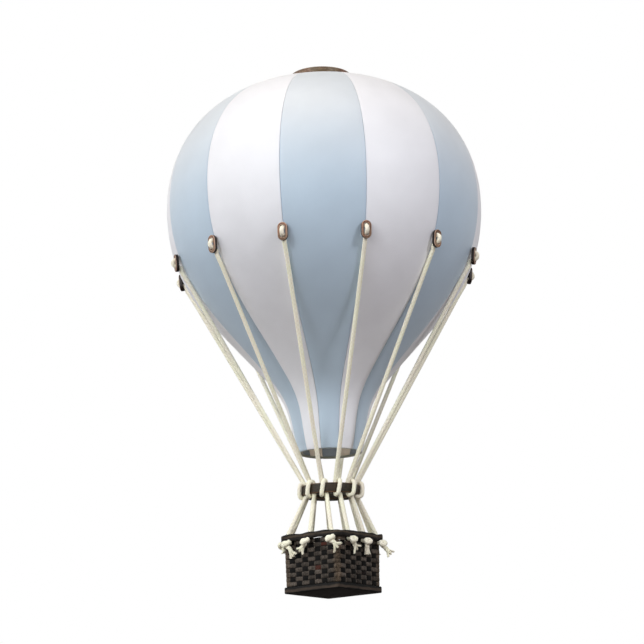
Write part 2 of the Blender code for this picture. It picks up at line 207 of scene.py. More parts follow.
class EnvelopeSettings(bpy.types.PropertyGroup):
    """Sizes and colours of the paper-covered shell."""

    wall: length_setting("Wall", "Thickness of the board", 0.004)
    lip: length_setting("Lip", "Rounding of the mouth's edge", 0.0012)
    groove_depth: length_setting("Seam depth", "How far the paper dips at a seam", 0.00020)
    groove_width: length_setting("Seam width", "Reach of that dip from the seam", 0.0008)
    rows: IntProperty(name="Rows", description="Rows on each curve of the outline", default=34)
    columns: IntProperty(name="Columns", description="Columns across one gore", default=15)
    blue: colour_setting("Blue", "Pale blue paper", "#BFD1E2")
    # painted highlight: the blue paper near the crown is painted paler for the light that falls on it
    # from above
    blue_faded: colour_setting("Blue faded", "Pale blue paper near the crown", "#D9DFE7")
    white: colour_setting("White", "White paper", "#F2F2F8")
    blue_seam: colour_setting("Blue seam", "Line along a pale blue gore's edges", "#B3C6E0")
    white_seam: colour_setting("White seam", "Line along a white gore's edges", "#DEE3F0")
    # painted shade: the linings are painted a darker, greyer blue and a warmer beige than the outside
    # papers, in part for the shade inside the envelope
    blue_lining: colour_setting("Blue lining", "Inside of a pale blue gore", "#8A949D")
    white_lining: colour_setting("White lining", "Inside of a white gore", "#F8E9D4")
    board: colour_setting("Board", "Bare board on the lip", "#A9ADA2")


class WoodSettings(bpy.types.PropertyGroup):
    """Sizes and colours of the disc, the buttons and the ring."""

    edge: length_setting("Edge", "Rounding of the disc's and ring's edges", 0.0008)
    button_edge: length_setting("Button edge", "Rounding of the buttons' edges", 0.0007)
    sides: IntProperty(name="Sides", description="Sides of the turned pieces", default=144)
    disc_dark: colour_setting("Disc dark", "Grain of the crown disc", "#54402F")
    disc_light: colour_setting("Disc light", "Ground of the crown disc", "#86705F")
    # painted highlight: lighter colour of the rounded edges where they catch the light, partly wear
    disc_bare: colour_setting("Disc bare", "Rubbed edges of the crown disc", "#937B68")
    button_dark: colour_setting("Button dark", "Grain of the buttons", "#452620")
    button_light: colour_setting("Button light", "Ground of the buttons", "#987358")
    # painted highlight: lighter colour of the rounded edges where they catch the light, partly wear
    button_bare: colour_setting("Button bare", "Rubbed edges of the buttons", "#DFC2AC")
    ring_dark: colour_setting("Ring dark", "Grain of the ring", "#17110A")
    ring_light: colour_setting("Ring light", "Ground of the ring", "#3A3121")
    # painted highlight: lighter colour of the rounded edges where they catch the light, partly wear
    ring_bare: colour_setting("Ring bare", "Rubbed edges of the ring", "#8C6A52")
    # painted shade: the buttons' sides are painted near black, in part for the shade on them
    stain: colour_setting("Stain", "Stain that has run down the buttons' sides", "#120A0C")


class RopeSettings(bpy.types.PropertyGroup):
    """Sizes and colours of the braided ropes."""

    step: length_setting("Step", "Distance between two sections", 0.00045)
    pitch: length_setting("Plait", "Length in which a strand goes once round", 0.0110)
    relief: length_setting("Relief", "How far a strand stands out", 0.00011)
    fibre_radius: length_setting("Fibre", "Radius of one frayed end's yarn", 0.00030)
    flare: FloatProperty(name="Flare", description="Spread of the frayed ends", default=1.0)
    sides: IntProperty(name="Sides", description="Sides of a rope", default=18)
    fibres: IntProperty(name="Yarns", description="Yarns in a frayed end", default=60)
    smoothing: IntProperty(name="Smoothing", description="Passes that round the bends", default=7)
    cotton: colour_setting("Cotton", "Undyed cotton", "#FFFBEC")
    # painted shade: this colour darkens the furrows between the strands as painted shade, and marks
    # the stains
    shade: colour_setting("Cotton shade", "Cotton in the furrows and stains", "#F0E8CE")


class BasketSettings(bpy.types.PropertyGroup):
    """Sizes and colours of the basket."""

    spans: IntProperty(name="Spans", description="Stake spacings on each side", default=8)
    rows: IntProperty(name="Rows", description="Rows of woven strip", default=10)
    strip: length_setting("Strip", "Thickness of a strip", 0.0008)
    strip_width: length_setting("Strip width", "Width of a woven strip", 0.0036)
    stake_width: length_setting("Stake width", "Width of an upright", 0.0060)
    wave: length_setting("Wave", "How far a woven strip bends in and out", 0.00085)
    stake_wave: length_setting("Stake wave", "How far an upright bends in and out", 0.00015)
    weaver: colour_setting("Weaver", "Woven strips", "#4B443E")
    # painted shade: the uprights are painted near black, darker than the strips, in part for the shade
    # in the cells between the strips
    stake_with_shade: colour_setting("Stake", "Uprights", "#0B0A09")
    corner: colour_setting("Corner", "Woven strips, worn at a corner", "#52463A")
    reddish: colour_setting("Reddish", "Cells that took the stain less", "#7C4436")
    rim_dark: colour_setting("Rim dark", "Bound rim", "#15110E")
    rim_worn: colour_setting("Rim worn", "Bound rim where it is rubbed", "#40362C")
    # painted shade: near black on the board's underside, where shade falls
    board_dark: colour_setting("Board dark", "Underside of the base board", "#080706")
    board_worn: colour_setting("Board worn", "Rubbed edge of the base board", "#3E342C")


class StageSettings(bpy.types.PropertyGroup):
    """Floor, light and camera."""

    floor_z: FloatProperty(name="Floor", description="Height", default=-0.70, unit="LENGTH")
    floor: colour_setting("Floor", "Grey floor", "#685F5C")
    air: colour_setting("Surround", "White surround", "#FFFFFF")
    lens: FloatProperty(name="Lens", description="Focal length in millimetres", default=125.8)


def settings(group):
    return getattr(bpy.context.scene, f"balloon_{group}")


def outward(azimuth):
    return Vector((math.sin(azimuth), -math.cos(azimuth), 0))


def sideways(azimuth):
    return Vector((math.cos(azimuth), math.sin(azimuth), 0))


def at(azimuth, radius, z, aside=0.0):
    """The point at a radius and height on an azimuth, moved aside towards greater azimuths."""
    return outward(azimuth) * radius + sideways(azimuth) * aside + Vector((0, 0, z))


def feed(node, *values, **named):
    """Gives a node's inputs values or links, in order or by name, where "_" stands for a blank.

    A node given as a value stands for its first output.
    """
    for key, value in (*enumerate(values), *named.items()):
        inputs = [socket for socket in node.inputs if socket.enabled]
        if isinstance(key, int):
            socket = inputs[key]
        else:
            socket = next(socket for socket in inputs if socket.name == key.replace("_", " "))
        if isinstance(value, bpy.types.Node):
            value = next(output for output in value.outputs if output.enabled)
        if isinstance(value, bpy.types.NodeSocket):
            node.id_data.links.new(value, socket)
        else:
            socket.default_value = value


def add(tree, kind, *values, **named):
    """Adds a node. The values and the capitalised names are its inputs, other names its options.

    A kind may end in its operation.
    """
    kind, *operation = kind.split()
    family = next(family for family in NODE_FAMILIES if hasattr(bpy.types, family + kind))
    node = tree.nodes.new(family + kind)
    if operation:
        node.operation = operation[0]
    inputs = {name: value for name, value in named.items() if name[0].isupper()}
    for name, value in named.items():
        if name not in inputs:
            setattr(node, name, value)
    feed(node, *values, **inputs)
    return node


def new_shape_tree(name, **inputs):
    """A Geometry Nodes tree with inputs named by kind, their sockets, and what adds its nodes."""
    tree = bpy.data.node_groups.new(name, "GeometryNodeTree")
    tree.is_modifier = True
    for way in ("INPUT", "OUTPUT"):
        tree.interface.new_socket("Geometry", in_out=way, socket_type="NodeSocketGeometry")
    for kind, labels in inputs.items():
        for label in labels:
            tree.interface.new_socket(label, in_out="INPUT", socket_type=f"NodeSocket{kind}")
    given = tree.nodes.new("NodeGroupInput")
    return tree, given.outputs, partial(add, tree)


def end_tree(tree, given, shape):
    """Ends a tree in plain geometry of the given material."""
    realized = add(tree, "RealizeInstances", Geometry=shape)
    finished = add(tree, "SetMaterial", Geometry=realized, Material=given["Material"])
    feed(tree.nodes.new("NodeGroupOutput"), Geometry=finished)
    return tree


def go(node, spot, *legs):
    """Nodes that move a spot by (way, length) legs."""
    for way, length in legs:
        leg = node("VectorMath SCALE", way, length)
        spot = node("VectorMath ADD", spot, leg)
    return spot


def plain_mesh(piece, modifier):
    """The mesh that a modifier makes of a piece, which loses the modifier."""
    graph = bpy.context.evaluated_depsgraph_get()
    made = bpy.data.meshes.new_from_object(piece.evaluated_get(graph), depsgraph=graph)
    piece.modifiers.remove(modifier)
    return made


def grow(name, data, tree, values):
    """Runs a tree on a mesh and returns what it makes as an object with a plain mesh."""
    source = place(f"{name}_source", data)
    modifier = source.modifiers.new(tree.name, "NODES")
    modifier.node_group = tree
    for item in tree.interface.items_tree:
        if item.in_out == "INPUT" and item.name in values:
            modifier[item.identifier] = values[item.name]
    made = plain_mesh(source, modifier)
    bpy.data.objects.remove(source)
    made.name = name
    return place(name, made)


def place(name, data):
    made = bpy.data.objects.new(name, data)
    bpy.context.scene.collection.objects.link(made)
    return made


def finish_piece(piece, nodes, sharp=35):
    """Shades a piece, hides the solids that it stands for and puts it on its body."""
    if not piece.data.polygons:
        raise RuntimeError(f"{piece.name} has no faces")
    piece.data.shade_smooth()
    piece.data.set_sharp_from_angle(angle=math.radians(sharp))
    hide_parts(*nodes)
    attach(piece, BODY)


def mark(data, name, values):
    """Adds a named attribute to a mesh: a number or a vector for each point."""
    is_vector = isinstance(values[0], Vector)
    attribute = data.attributes.new(name, "FLOAT_VECTOR" if is_vector else "FLOAT", "POINT")
    for item, value in zip(attribute.data, values, strict=True):
        setattr(item, "vector" if is_vector else "value", value)


def strings(lines, closed=False, **attributes):
    """A mesh of lines of points, with named attributes given point by point."""
    data = bpy.data.meshes.new("strings")
    vertices = [point for line in lines for point in line]
    edges = []
    first = 0
    for line in lines:
        last = first + len(line) - 1
        edges += [(here, here + 1) for here in range(first, last)]
        if closed:
            edges.append((last, first))
        first = last + 1
    data.from_pydata(vertices, edges, [])
    for name, values in attributes.items():
        mark(data, name, values)
    return data


def mesh_of(name, solids, material=None, ring=False):
    """A mesh of solids, each a row of loops of equal length that faces join, capped or in a ring."""
    mesh = bmesh.new()
    for loops in solids:
        rows = [[mesh.verts.new(point) for point in loop] for loop in loops]
        pairs = list(zip(rows, rows[1:]))
        if ring:
            pairs.append((rows[-1], rows[0]))
        else:
            mesh.faces.new(rows[0])
            mesh.faces.new(rows[-1])
        for low, high in pairs:
            for here in range(len(low)):
                following = (here + 1) % len(low)
                mesh.faces.new((low[here], low[following], high[following], high[here]))
    bmesh.ops.recalc_face_normals(mesh, faces=mesh.faces)
    data = bpy.data.meshes.new(name)
    mesh.to_mesh(data)
    mesh.free()
    if material:
        data.materials.append(material)
    return data


def circle(radius, sides, z):
    turn = 2 * math.pi / sides
    return [at(step * turn, radius, z) for step in range(sides)]


def oval(length, width, z, steps):
    """A loop with straight sides and round ends, its length along Y."""
    points = []
    for end in (1, -1):
        middle = Vector((0, end * (length - width) / 2, z))
        for step in range(steps + 1):
            turn = math.pi * step / steps
            arm = Vector((end * math.cos(turn), end * math.sin(turn), 0))
            points.append(middle + arm * width / 2)
    return points


def rounded_edge(radius, steps=5):
    """(inset, drop) pairs of a quarter round, from the flat face's end to the side's."""
    turns = [math.pi / 2 * step / steps for step in range(steps + 1)]
    return [(radius * (1 - math.sin(turn)), radius * (1 - math.cos(turn))) for turn in turns]


def edged_side(start, end, radius):
    """(growth, z) pairs along a side between rounded edges: an outside goes down, an inside up."""
    way = 1 if start > end else -1
    edge = rounded_edge(radius)
    pairs = [(-way * inset, start - way * drop) for inset, drop in edge]
    return pairs + [(-way * inset, end + way * drop) for inset, drop in edge[::-1]]


def mark_edges(data, around, edges):
    """Marks how far each point is painted lighter, a painted highlight and partly wear: most in the
    middle of each rounded edge, which come first.
    """
    steps = len(rounded_edge(1))
    marks = []
    for index in range(len(data.vertices)):
        edge, step = divmod(index // around, steps)
        marks.append(math.sin(math.pi * step / (steps - 1)) if edge < edges else 0.0)
    mark(data, "edge", marks)


def new_material(name):
    """A material, its shader, and what adds its nodes."""
    material = bpy.data.materials.new(name)
    material.use_nodes = True
    tree = material.node_tree
    tree.nodes.clear()
    node = partial(add, tree)
    shader = node("BsdfPrincipled")
    node("OutputMaterial", Surface=shader)
    return material, shader, node


def hue_cast(node, ground, where, scale, first, second):
    """Casts a colour a little to one hue in some places and to another in others."""
    drift = node("TexNoise", Vector=where, Scale=scale, Detail=1.0)
    share = node("MapRange", drift, 0.38, 0.62, 0.0, 1.0)
    cast = node("Mix", share, (*first, 1), (*second, 1), data_type="RGBA")
    return node("VectorMath MULTIPLY", ground, cast)


def set_ramp(node, stops):
    """Gives a colour ramp its (position, colour) stops."""
    elements = node.color_ramp.elements
    elements[0].position, elements[0].color = stops[0]
    elements[1].position, elements[1].color = stops[-1]
    for position, tone in stops[1:-1]:
        elements.new(position).color = tone


def paper_material(name, paper, crown_highlight, seam, lining, board):
    """Cloth-grained paper on board: nearly matt, with a crossed thread grain and a line at seams.

    Near the crown it is painted paler, a painted highlight of the light from above.
    """
    material, shader, node = new_material(name)
    feed(shader, Roughness=0.48, Specular_IOR_Level=0.5, Sheen_Weight=0.30, Sheen_Roughness=0.45)
    where = node("TexCoord").outputs["Object"]
    sheet = node("UVMap", uv_map="UVMap")
    turned = node("Mapping", Vector=sheet, Rotation=(0, 0, math.radians(45)))
    # the threads lie 0.5 mm apart, drawn 1.3 mm apart so that they show
    thread = 0.0013
    waves = {"Scale": math.pi / 10 / thread, "Distortion": 1.2, "Detail": 1.0, "Detail_Scale": 2.0}
    threads = [
        node("TexWave", bands_direction=direction, Vector=turned, **waves).outputs["Fac"]
        for direction in ("X", "Y")
    ]
    grain = node("Math MULTIPLY", *threads)
    bump = node("Bump", Strength=0.35, Distance=0.0002, Height=grain)
    # clouds of 26 mm
    cloud = node("TexNoise", Vector=where, Scale=38.0, Detail=5.0)
    tone = node("MapRange", cloud, 0.3, 0.7, 0.965, 1.02)
    flecks = node("MapRange", grain, 0.0, 1.0, 0.985, 1.01)
    shade = node("Math MULTIPLY", tone, flecks)
    height = node("SeparateXYZ", where).outputs["Z"]
    soft = {"interpolation_type": "SMOOTHSTEP"}
    # painted highlight: towards the crown the paper is painted paler, for the light that falls on it
    # from above
    high_up = node("MapRange", height, BELLY_Z - 0.030, BELLY_Z + 0.070, 0.0, 1.0, **soft)
    ground = node("Mix", high_up, paper, crown_highlight, data_type="RGBA")
    # the line fades within 1.6 mm, is fainter on the neck and goes out near the crown
    distance, lined = (
        node("Attribute", attribute_name=name).outputs["Fac"] for name in ("seam", "lining")
    )
    on_belly = node("MapRange", height, CONE_Z, CONE_Z + 0.06, 0.08, 0.4)
    strength = node("MapRange", high_up, 0.3, 1.0, on_belly, 0.0)
    at_seam = node("MapRange", distance, 0.0002, 0.0016, strength, 0.0, **soft)
    outer = node("Mix", at_seam, ground, seam, data_type="RGBA")
    # bare board shows on the lip, between the paper and the lining
    lip = node("ValToRGB", lined)
    set_ramp(lip, ((0.02, (0, 0, 0, 1)), (0.5, (1, 1, 1, 1))))
    edged = node("Mix", lip, outer, board, data_type="RGBA")
    # the inside takes the lining colour, in part painted shade of the dim inside
    inner = node("MapRange", lined, 0.85, 1.0, 0.0, 1.0, **soft)
    whole = node("Mix", inner, edged, lining, data_type="RGBA")
    tinted = node("VectorMath SCALE", whole, shade)
    feed(shader, Base_Color=tinted, Normal=bump)
    return material


def wood_material(name, wood, piece, edge_highlight_and_wear, ring_width, along, source=None):
    """Stained hardwood under a satin wax: long streaks of grain, fine pores and edges painted lighter.

    Edge highlight and wear is the share of the lighter edge colour that shows on the rounded edges: a
    painted highlight where they catch the light, partly wear.
    """
    dark, light, bare = (getattr(wood, f"{piece}_{tone}") for tone in ("dark", "light", "bare"))
    material, shader, node = new_material(name)
    feed(shader, Coat_Weight=0.05, Coat_Roughness=0.3, Specular_IOR_Level=0.28)
    if source:
        where = node("Attribute", attribute_name=source).outputs["Vector"]
    else:
        where = node("TexCoord").outputs["Object"]
    # the grain runs along one axis, so the pattern is stretched twelve times along it
    stretch = [1.0, 1.0, 1.0]
    stretch[along] = 1 / 12
    long = node("Mapping", Vector=where, Scale=stretch)
    streaks = node("TexNoise", Vector=long, Scale=1 / ring_width, Detail=6.0, Roughness=0.6)
    pores = node("TexNoise", Vector=long, Scale=4 / ring_width, Detail=3.0, Roughness=0.7)
    # patches of 11 mm
    patches = node("TexNoise", Vector=where, Scale=90.0, Detail=2.0)
    share = node("MapRange", streaks, 0.36, 0.66, 0.0, 1.0)
    ground = node("Mix", share, dark, light, data_type="RGBA")
    spots = node("MapRange", pores, 0.35, 0.65, 0.78, 1.08)
    mottle = node("MapRange", patches, 0.3, 0.7, 0.82, 1.12)
    shade = node("Math MULTIPLY", spots, mottle)
    tinted = node("VectorMath SCALE", ground, shade)
    # the stain is greener in some places and redder in others, 17 mm across
    stained = hue_cast(node, tinted, where, 60.0, (0.97, 1.02, 0.89), (1.18, 0.94, 0.92))
    # the rounded edges are painted lighter, here more and there less: a painted highlight where they
    # catch the light, partly rubbed wear
    edge, depth = (
        node("Attribute", attribute_name=name).outputs["Fac"] for name in ("edge", "depth")
    )
    here = node("MapRange", patches, 0.4, 0.6, edge_highlight_and_wear / 2, edge_highlight_and_wear)
    edge_lightening = node("Math MULTIPLY", edge, here)
    edges_lightened = node("Mix", edge_lightening, stained, bare, data_type="RGBA")
    # on a thin plate the sides are painted near black, in part painted shade on the sides
    shaded_sides = node("MapRange", depth, 0.11, 0.22, 0.0, 0.95)
    worn = node("Mix", shaded_sides, edges_lightened, wood.stain, data_type="RGBA")
    bump = node("Bump", Strength=0.4, Distance=0.00015, Height=pores)
    gloss = node("MapRange", pores, 0.3, 0.7, 0.52, 0.38)
    feed(shader, Base_Color=worn, Normal=bump, Roughness=gloss)
    return material


def cotton_material(name, cotton, shade):
    """Undyed braided cotton: matt and soft, with fine yarns that follow the plait."""
    material, shader, node = new_material(name)
    feed(shader, Roughness=0.92, Specular_IOR_Level=0.2, Sheen_Weight=0.25, Sheen_Roughness=0.5)
    where = node("TexCoord").outputs["Object"]
    furrow = node("Attribute", attribute_name="furrow").outputs["Fac"]
    # stains of 8 mm and yarns of 0.4 mm
    stains = node("TexNoise", Vector=where, Scale=120.0, Detail=3.0)
    yarns = node("TexNoise", Vector=where, Scale=1 / 0.0004, Detail=2.0)
    stained = node("MapRange", stains, 0.45, 0.75, 0.0, 0.35)
    # painted shade: the cotton is painted darker in the furrows between the strands
    furrow_shade = node("MapRange", furrow, 0.0, 0.8, 0.4, 0.0)
    both = node("Math MAXIMUM", stained, furrow_shade)
    plain = node("Mix", both, cotton, shade, data_type="RGBA")
    # undyed cotton is a little green in some lengths of 18 mm and a little pink in others
    ground = hue_cast(node, plain, where, 55.0, (0.985, 1.0, 0.93), (1.0, 0.975, 0.96))
    bump = node("Bump", Strength=0.35, Distance=0.00012, Height=yarns)
    feed(shader, Base_Color=ground, Normal=bump)
    return material


def rattan_material(name, basket):
    """Flat split rattan, stained nearly black: a satin skin with fine fibres, each cell differing."""
    material, shader, node = new_material(name)
    feed(shader, Specular_IOR_Level=0.07)
    where = node("TexCoord").outputs["Object"]
    kind, wear = (
        node("Attribute", attribute_name=name).outputs["Fac"] for name in ("kind", "wear")
    )
    cell, section = (
        node("Attribute", attribute_name=name).outputs["Vector"] for name in ("cell", "section")
    )
    worn = node("Mix", wear, basket.weaver, basket.corner, data_type="RGBA")
    # painted shade: the uprights are painted near black, in part for the shade in the cells between
    # the strips
    ground = node("Mix", kind, worn, basket.stake_with_shade, data_type="RGBA")
    draw = node("TexWhiteNoise", Vector=cell)
    tone = node("MapRange", draw, 0.0, 1.0, 0.45, 1.5)
    # a few cells took the stain less and are reddish
    red = node("MapRange", draw, 0.992, 0.994, 0.0, 0.35)
    # twelve fibres lie across a strip
    fibres = node("TexNoise", Vector=section, Scale=6.0, Detail=3.0)
    streak = node("MapRange", fibres, 0.3, 0.7, 0.65, 1.3)
    # specks of 1.7 mm are painted darker and lighter: dust in the pores and painted highlights on the
    # bumpy fibres
    dust = node("TexNoise", Vector=where, Scale=600.0, Detail=4.0)
    dust_and_highlight_specks = node("MapRange", dust, 0.35, 0.65, 0.55, 1.5)
    fibres_and_specks = node("Math MULTIPLY", streak, dust_and_highlight_specks)
    shade = node("Math MULTIPLY", tone, fibres_and_specks)
    tinted = node("VectorMath SCALE", ground, shade)
    reddened = node("Mix", red, tinted, basket.reddish, data_type="RGBA")
    bump = node("Bump", Strength=0.5, Distance=0.0001, Height=fibres)
    gloss = node("MapRange", dust, 0.3, 0.7, 0.38, 0.6)
    feed(shader, Base_Color=reddened, Normal=bump, Roughness=gloss)
    return material


def band_material(name, low, high, stops):
    """Stained strips laid along an edge: long fibres, nearly matt, worn lighter where hands reach and
    painted dark at the bottom, in part painted shade.

    The stops are (share of the height from low to high, colour) pairs.
    """
    material, shader, node = new_material(name)
    feed(shader, Roughness=0.65, Specular_IOR_Level=0.2)
    along = node("UVMap", uv_map="UVMap")
    where = node("TexCoord").outputs["Object"]
    # fibres 14 mm long and 0.7 mm wide
    long = node("Mapping", Vector=along, Scale=(70, 1500, 1))
    fibres = node("TexNoise", Vector=long, Scale=1.0, Detail=5.0, Roughness=0.65)
    height = node("SeparateXYZ", where).outputs["Z"]
    share = node("MapRange", height, low, high, 0.0, 1.0)
    # the edges between the painted bands wander by a sixth of the height within 7 mm
    drift = node("TexNoise", Vector=where, Scale=140.0, Detail=2.0)
    shifted = node("MapRange", drift, 0.3, 0.7, -0.08, 0.08)
    level = node("Math ADD", share, shifted)
    ground = node("ValToRGB", level)
    set_ramp(ground, stops)
    # patches of 9 mm
    patches = node("TexNoise", Vector=where, Scale=110.0, Detail=3.0)
    streak = node("MapRange", fibres, 0.3, 0.7, 0.6, 1.45)
    mottle = node("MapRange", patches, 0.3, 0.7, 0.7, 1.35)
    shade = node("Math MULTIPLY", streak, mottle)
    tinted = node("VectorMath SCALE", ground, shade)
    bump = node("Bump", Strength=0.8, Distance=0.00025, Height=fibres)
    feed(shader, Base_Color=tinted, Normal=bump)
    return material


def envelope_outline(steps):
    """(radius, z) points of the outer surface from crown to mouth, with steps on each curve."""
    crown = Vector((0, CROWN_Z))
    belly = Vector((BELLY_RADIUS, BELLY_Z))
    cone = Vector((CONE_RADIUS, CONE_Z))
    mouth = Vector((MOUTH_RADIUS, MOUTH_Z))
    cone_way = Vector((math.sin(CONE_SLOPE), math.cos(CONE_SLOPE)))
    mouth_way = Vector((math.sin(MOUTH_SLOPE), math.cos(MOUTH_SLOPE)))
    curves = (
        (crown, crown + Vector((CROWN_REACH, 0)), belly + Vector((0, BELLY_RISE)), belly),
        (belly, belly - Vector((0, BELLY_FALL)), cone + cone_way * CONE_RISE, cone),
        (cone, cone - cone_way * CONE_FALL, mouth + mouth_way * MOUTH_RISE, mouth),
    )
    points = [Vector((CROWN_HOLE_RADIUS, CROWN_Z))]
    for start, leaving, arriving, end in curves:
        points += interpolate_bezier(start, leaving, arriving, end, steps + 1)[1:]
    return points


def outline_normals(points):
    """The outward normal at each point of an outline that runs from crown to mouth."""
    normals = []
    for before, after in zip([points[0], *points], [*points[1:], points[-1]]):
        along = (after - before).normalized()
        normals.append(Vector((-along.y, along.x)))
    return normals


def gore_tree():
    """Sweeps the wall's section over the angle of one gore and rounds the paper down at its seams."""
    tree, given, node = new_shape_tree(
        "Gore",
        Float=("Azimuth", "Half angle", "Gap", "Seam depth", "Seam width"),
        Int=("Columns",),
        Material=("Material",),
    )
    section = node("MeshToCurve", Mesh=given["Geometry"])
    line = node("CurvePrimitiveLine", Start=(0, -1, 0), End=(0, 1, 0))
    path = node("ResampleCurve", Curve=line, Count=given["Columns"])
    # the sine crowds the columns towards the seams
    factor = node("SplineParameter").outputs["Factor"]
    angle = node("Math MULTIPLY_ADD", factor, math.pi, -math.pi / 2)
    crowded = node("Math SINE", angle)
    path = node("StoreNamedAttribute", data_type="FLOAT", Geometry=path, Name="turn", Value=crowded)
    swept = node("CurveToMesh", Curve=path, Profile_Curve=section, Fill_Caps=True)
    turn, lining, run = (
        node("InputNamedAttribute", data_type="FLOAT", Name=name) for name in ("turn", "lining", "run")
    )
    spot, out = (
        node("InputNamedAttribute", data_type="FLOAT_VECTOR", Name=name) for name in ("spot", "out")
    )
    radius = node("SeparateXYZ", spot).outputs["X"]
    half_gap = node("Math MULTIPLY", given["Gap"], 0.5)
    gap_angle = node("Math DIVIDE", half_gap, radius)
    half = node("Math SUBTRACT", given["Half angle"], gap_angle)
    azimuth = node("Math MULTIPLY_ADD", turn, half, given["Azimuth"])
    # distance from the nearer seam
    off = node("Math ABSOLUTE", turn)
    share = node("Math SUBTRACT", 1.0, off)
    share_angle = node("Math MULTIPLY", share, half)
    seam = node("Math MULTIPLY", share_angle, radius)
    # only the outside dips
    widths = node("Math DIVIDE", seam, given["Seam width"])
    fall = node("Math MULTIPLY", widths, -1.0)
    dip = node("Math EXPONENT", fall)
    outside = node("Math LESS_THAN", lining, 0.5)
    dipped = node("Math MULTIPLY", dip, outside)
    depth = node("Math MULTIPLY", dipped, given["Seam depth"])
    inward = node("VectorMath SCALE", out, depth)
    lowered = node("VectorMath SUBTRACT", spot, inward)
    reach, _, z = node("SeparateXYZ", lowered).outputs
    sine = node("Math SINE", azimuth)
    cosine = node("Math COSINE", azimuth)
    x = node("Math MULTIPLY", reach, sine)
    forward = node("Math MULTIPLY", reach, cosine)
    y = node("Math MULTIPLY", forward, -1.0)
    position = node("CombineXYZ", x, y, z)
    gore = node("SetPosition", Geometry=swept, Position=position)
    across = node("Math MULTIPLY", turn, half)
    arc = node("Math MULTIPLY", across, radius)
    sheet = node("CombineXYZ", arc, run)
    gore = node("StoreNamedAttribute", data_type="FLOAT", Geometry=gore, Name="seam", Value=seam)
    mapped = {"data_type": "FLOAT2", "domain": "CORNER", "Name": "UVMap", "Value": sheet}
    gore = node("StoreNamedAttribute", Geometry=gore, **mapped)
    return end_tree(tree, given, gore)


def gore_section(envelope):
    """The wall's closed section from crown to mouth and back, its place kept as an attribute."""
    outer = envelope_outline(envelope.rows)
    normals = outline_normals(outer)
    inner = [point - normal * envelope.wall for point, normal in zip(outer, normals)]
    # the lip is a flat half round below the two skins
    end_way = (outer[-1] - outer[-2]).normalized()
    outer[-1] -= end_way * envelope.lip
    inner[-1] -= end_way * envelope.lip
    middle = (outer[-1] + inner[-1]) / 2
    turns = [math.pi * step / LIP_STEPS for step in range(1, LIP_STEPS)]
    lip = [
        middle
        + normals[-1] * math.cos(turn) * envelope.wall / 2
        + end_way * math.sin(turn) * envelope.lip
        for turn in turns
    ]
    points = outer + lip + inner[::-1]
    outs = normals + [normals[-1]] * len(lip) + [-normal for normal in normals[::-1]]
    lining = [0.0] * len(outer) + [turn / math.pi for turn in turns] + [1.0] * len(inner)
    run = [0.0]
    for before, after in zip(points, points[1:]):
        run.append(run[-1] + (after - before).length)
    spots = [Vector((point.x, 0, point.y)) for point in points]
    ways = [Vector((way.x, 0, way.y)) for way in outs]
    return strings([spots], closed=True, spot=spots, out=ways, lining=lining, run=run)


def button_frame(azimuth):
    """The middle of a button's back face, and the ways across, along and out of it."""
    outline = envelope_outline(OUTLINE_STEPS)
    normals = outline_normals(outline)
    seat = min(range(len(outline)), key=lambda index: abs(outline[index].y - BUTTON_Z))
    out = outward(azimuth) * normals[seat].x + Vector((0, 0, normals[seat].y))
    across = sideways(azimuth)
    along = out.cross(across)
    tilt = Matrix.Rotation(-BUTTON_TILT, 3, across)
    middle = at(azimuth, outline[seat].x, outline[seat].y) + out * BUTTON_LIFT
    return middle, across, tilt @ along, tilt @ out


def button_tree():
    """Puts a copy of one piece on each point, turned to the ways that the point holds."""
    tree, given, node = new_shape_tree(
        "Buttons on seams", Object=("Button",), Int=("Seed",), Material=("Material",)
    )
    button = node("ObjectInfo", Object=given["Button"]).outputs["Geometry"]
    out, across, grain, plank = (
        node("InputNamedAttribute", data_type="FLOAT_VECTOR", Name=name)
        for name in ("out", "across", "grain", "plank")
    )
    ways = {"Primary_Axis": out, "Secondary_Axis": across}
    turned = node("AxesToRotation", primary_axis="Z", secondary_axis="X", **ways)
    copies = node("InstanceOnPoints", Points=given["Geometry"], Instance=button, Rotation=turned)
    # each plate was cut from another part of the board
    span = {"data_type": "FLOAT_VECTOR", "Min": (-1, -1, -1), "Max": (1, 1, 1)}
    drawn = node("RandomValue", Seed=given["Seed"], **span)
    kept = {"data_type": "FLOAT_VECTOR", "domain": "INSTANCE", "Name": "plank", "Value": drawn}
    marked = node("StoreNamedAttribute", Geometry=copies, **kept)
    apart = node("RealizeInstances", Geometry=marked)
    moved = node("VectorMath ADD", grain, plank)
    kept = {"data_type": "FLOAT_VECTOR", "Name": "grain", "Value": moved}
    grained = node("StoreNamedAttribute", Geometry=apart, **kept)
    return end_tree(tree, given, grained)


def button_mesh(wood):
    """An oval plate with an oval slot and rounded edges, its back face on the plane z = 0."""
    sides = (
        (BUTTON_LENGTH, BUTTON_WIDTH, BUTTON_THICKNESS, 0),
        (SLOT_LENGTH, SLOT_WIDTH, 0, BUTTON_THICKNESS),
    )
    loops = []
    for length, width, start, end in sides:
        for grown, z in edged_side(start, end, wood.button_edge):
            loops.append(oval(length + 2 * grown, width + 2 * grown, z, BUTTON_END_STEPS))
    data = mesh_of("button", [loops], ring=True)
    mark_edges(data, len(loops[0]), 4)
    mark(data, "grain", [vertex.co.copy() for vertex in data.vertices])
    mark(data, "depth", [1 - vertex.co.z / BUTTON_THICKNESS for vertex in data.vertices])
    return data


def leave_point(target):
    """Where a taut rope that is on its way to a (radius, z) target leaves the envelope."""
    outline = envelope_outline(OUTLINE_STEPS)
    on_wall = [
        point + normal * ROPE_CLEAR for point, normal in zip(outline, outline_normals(outline))
    ]
    lower = [point for point in on_wall if CONE_Z < point.y < BUTTON_Z]
    return max(lower, key=lambda point: math.atan2(point.x - target.x, point.y - target.y))


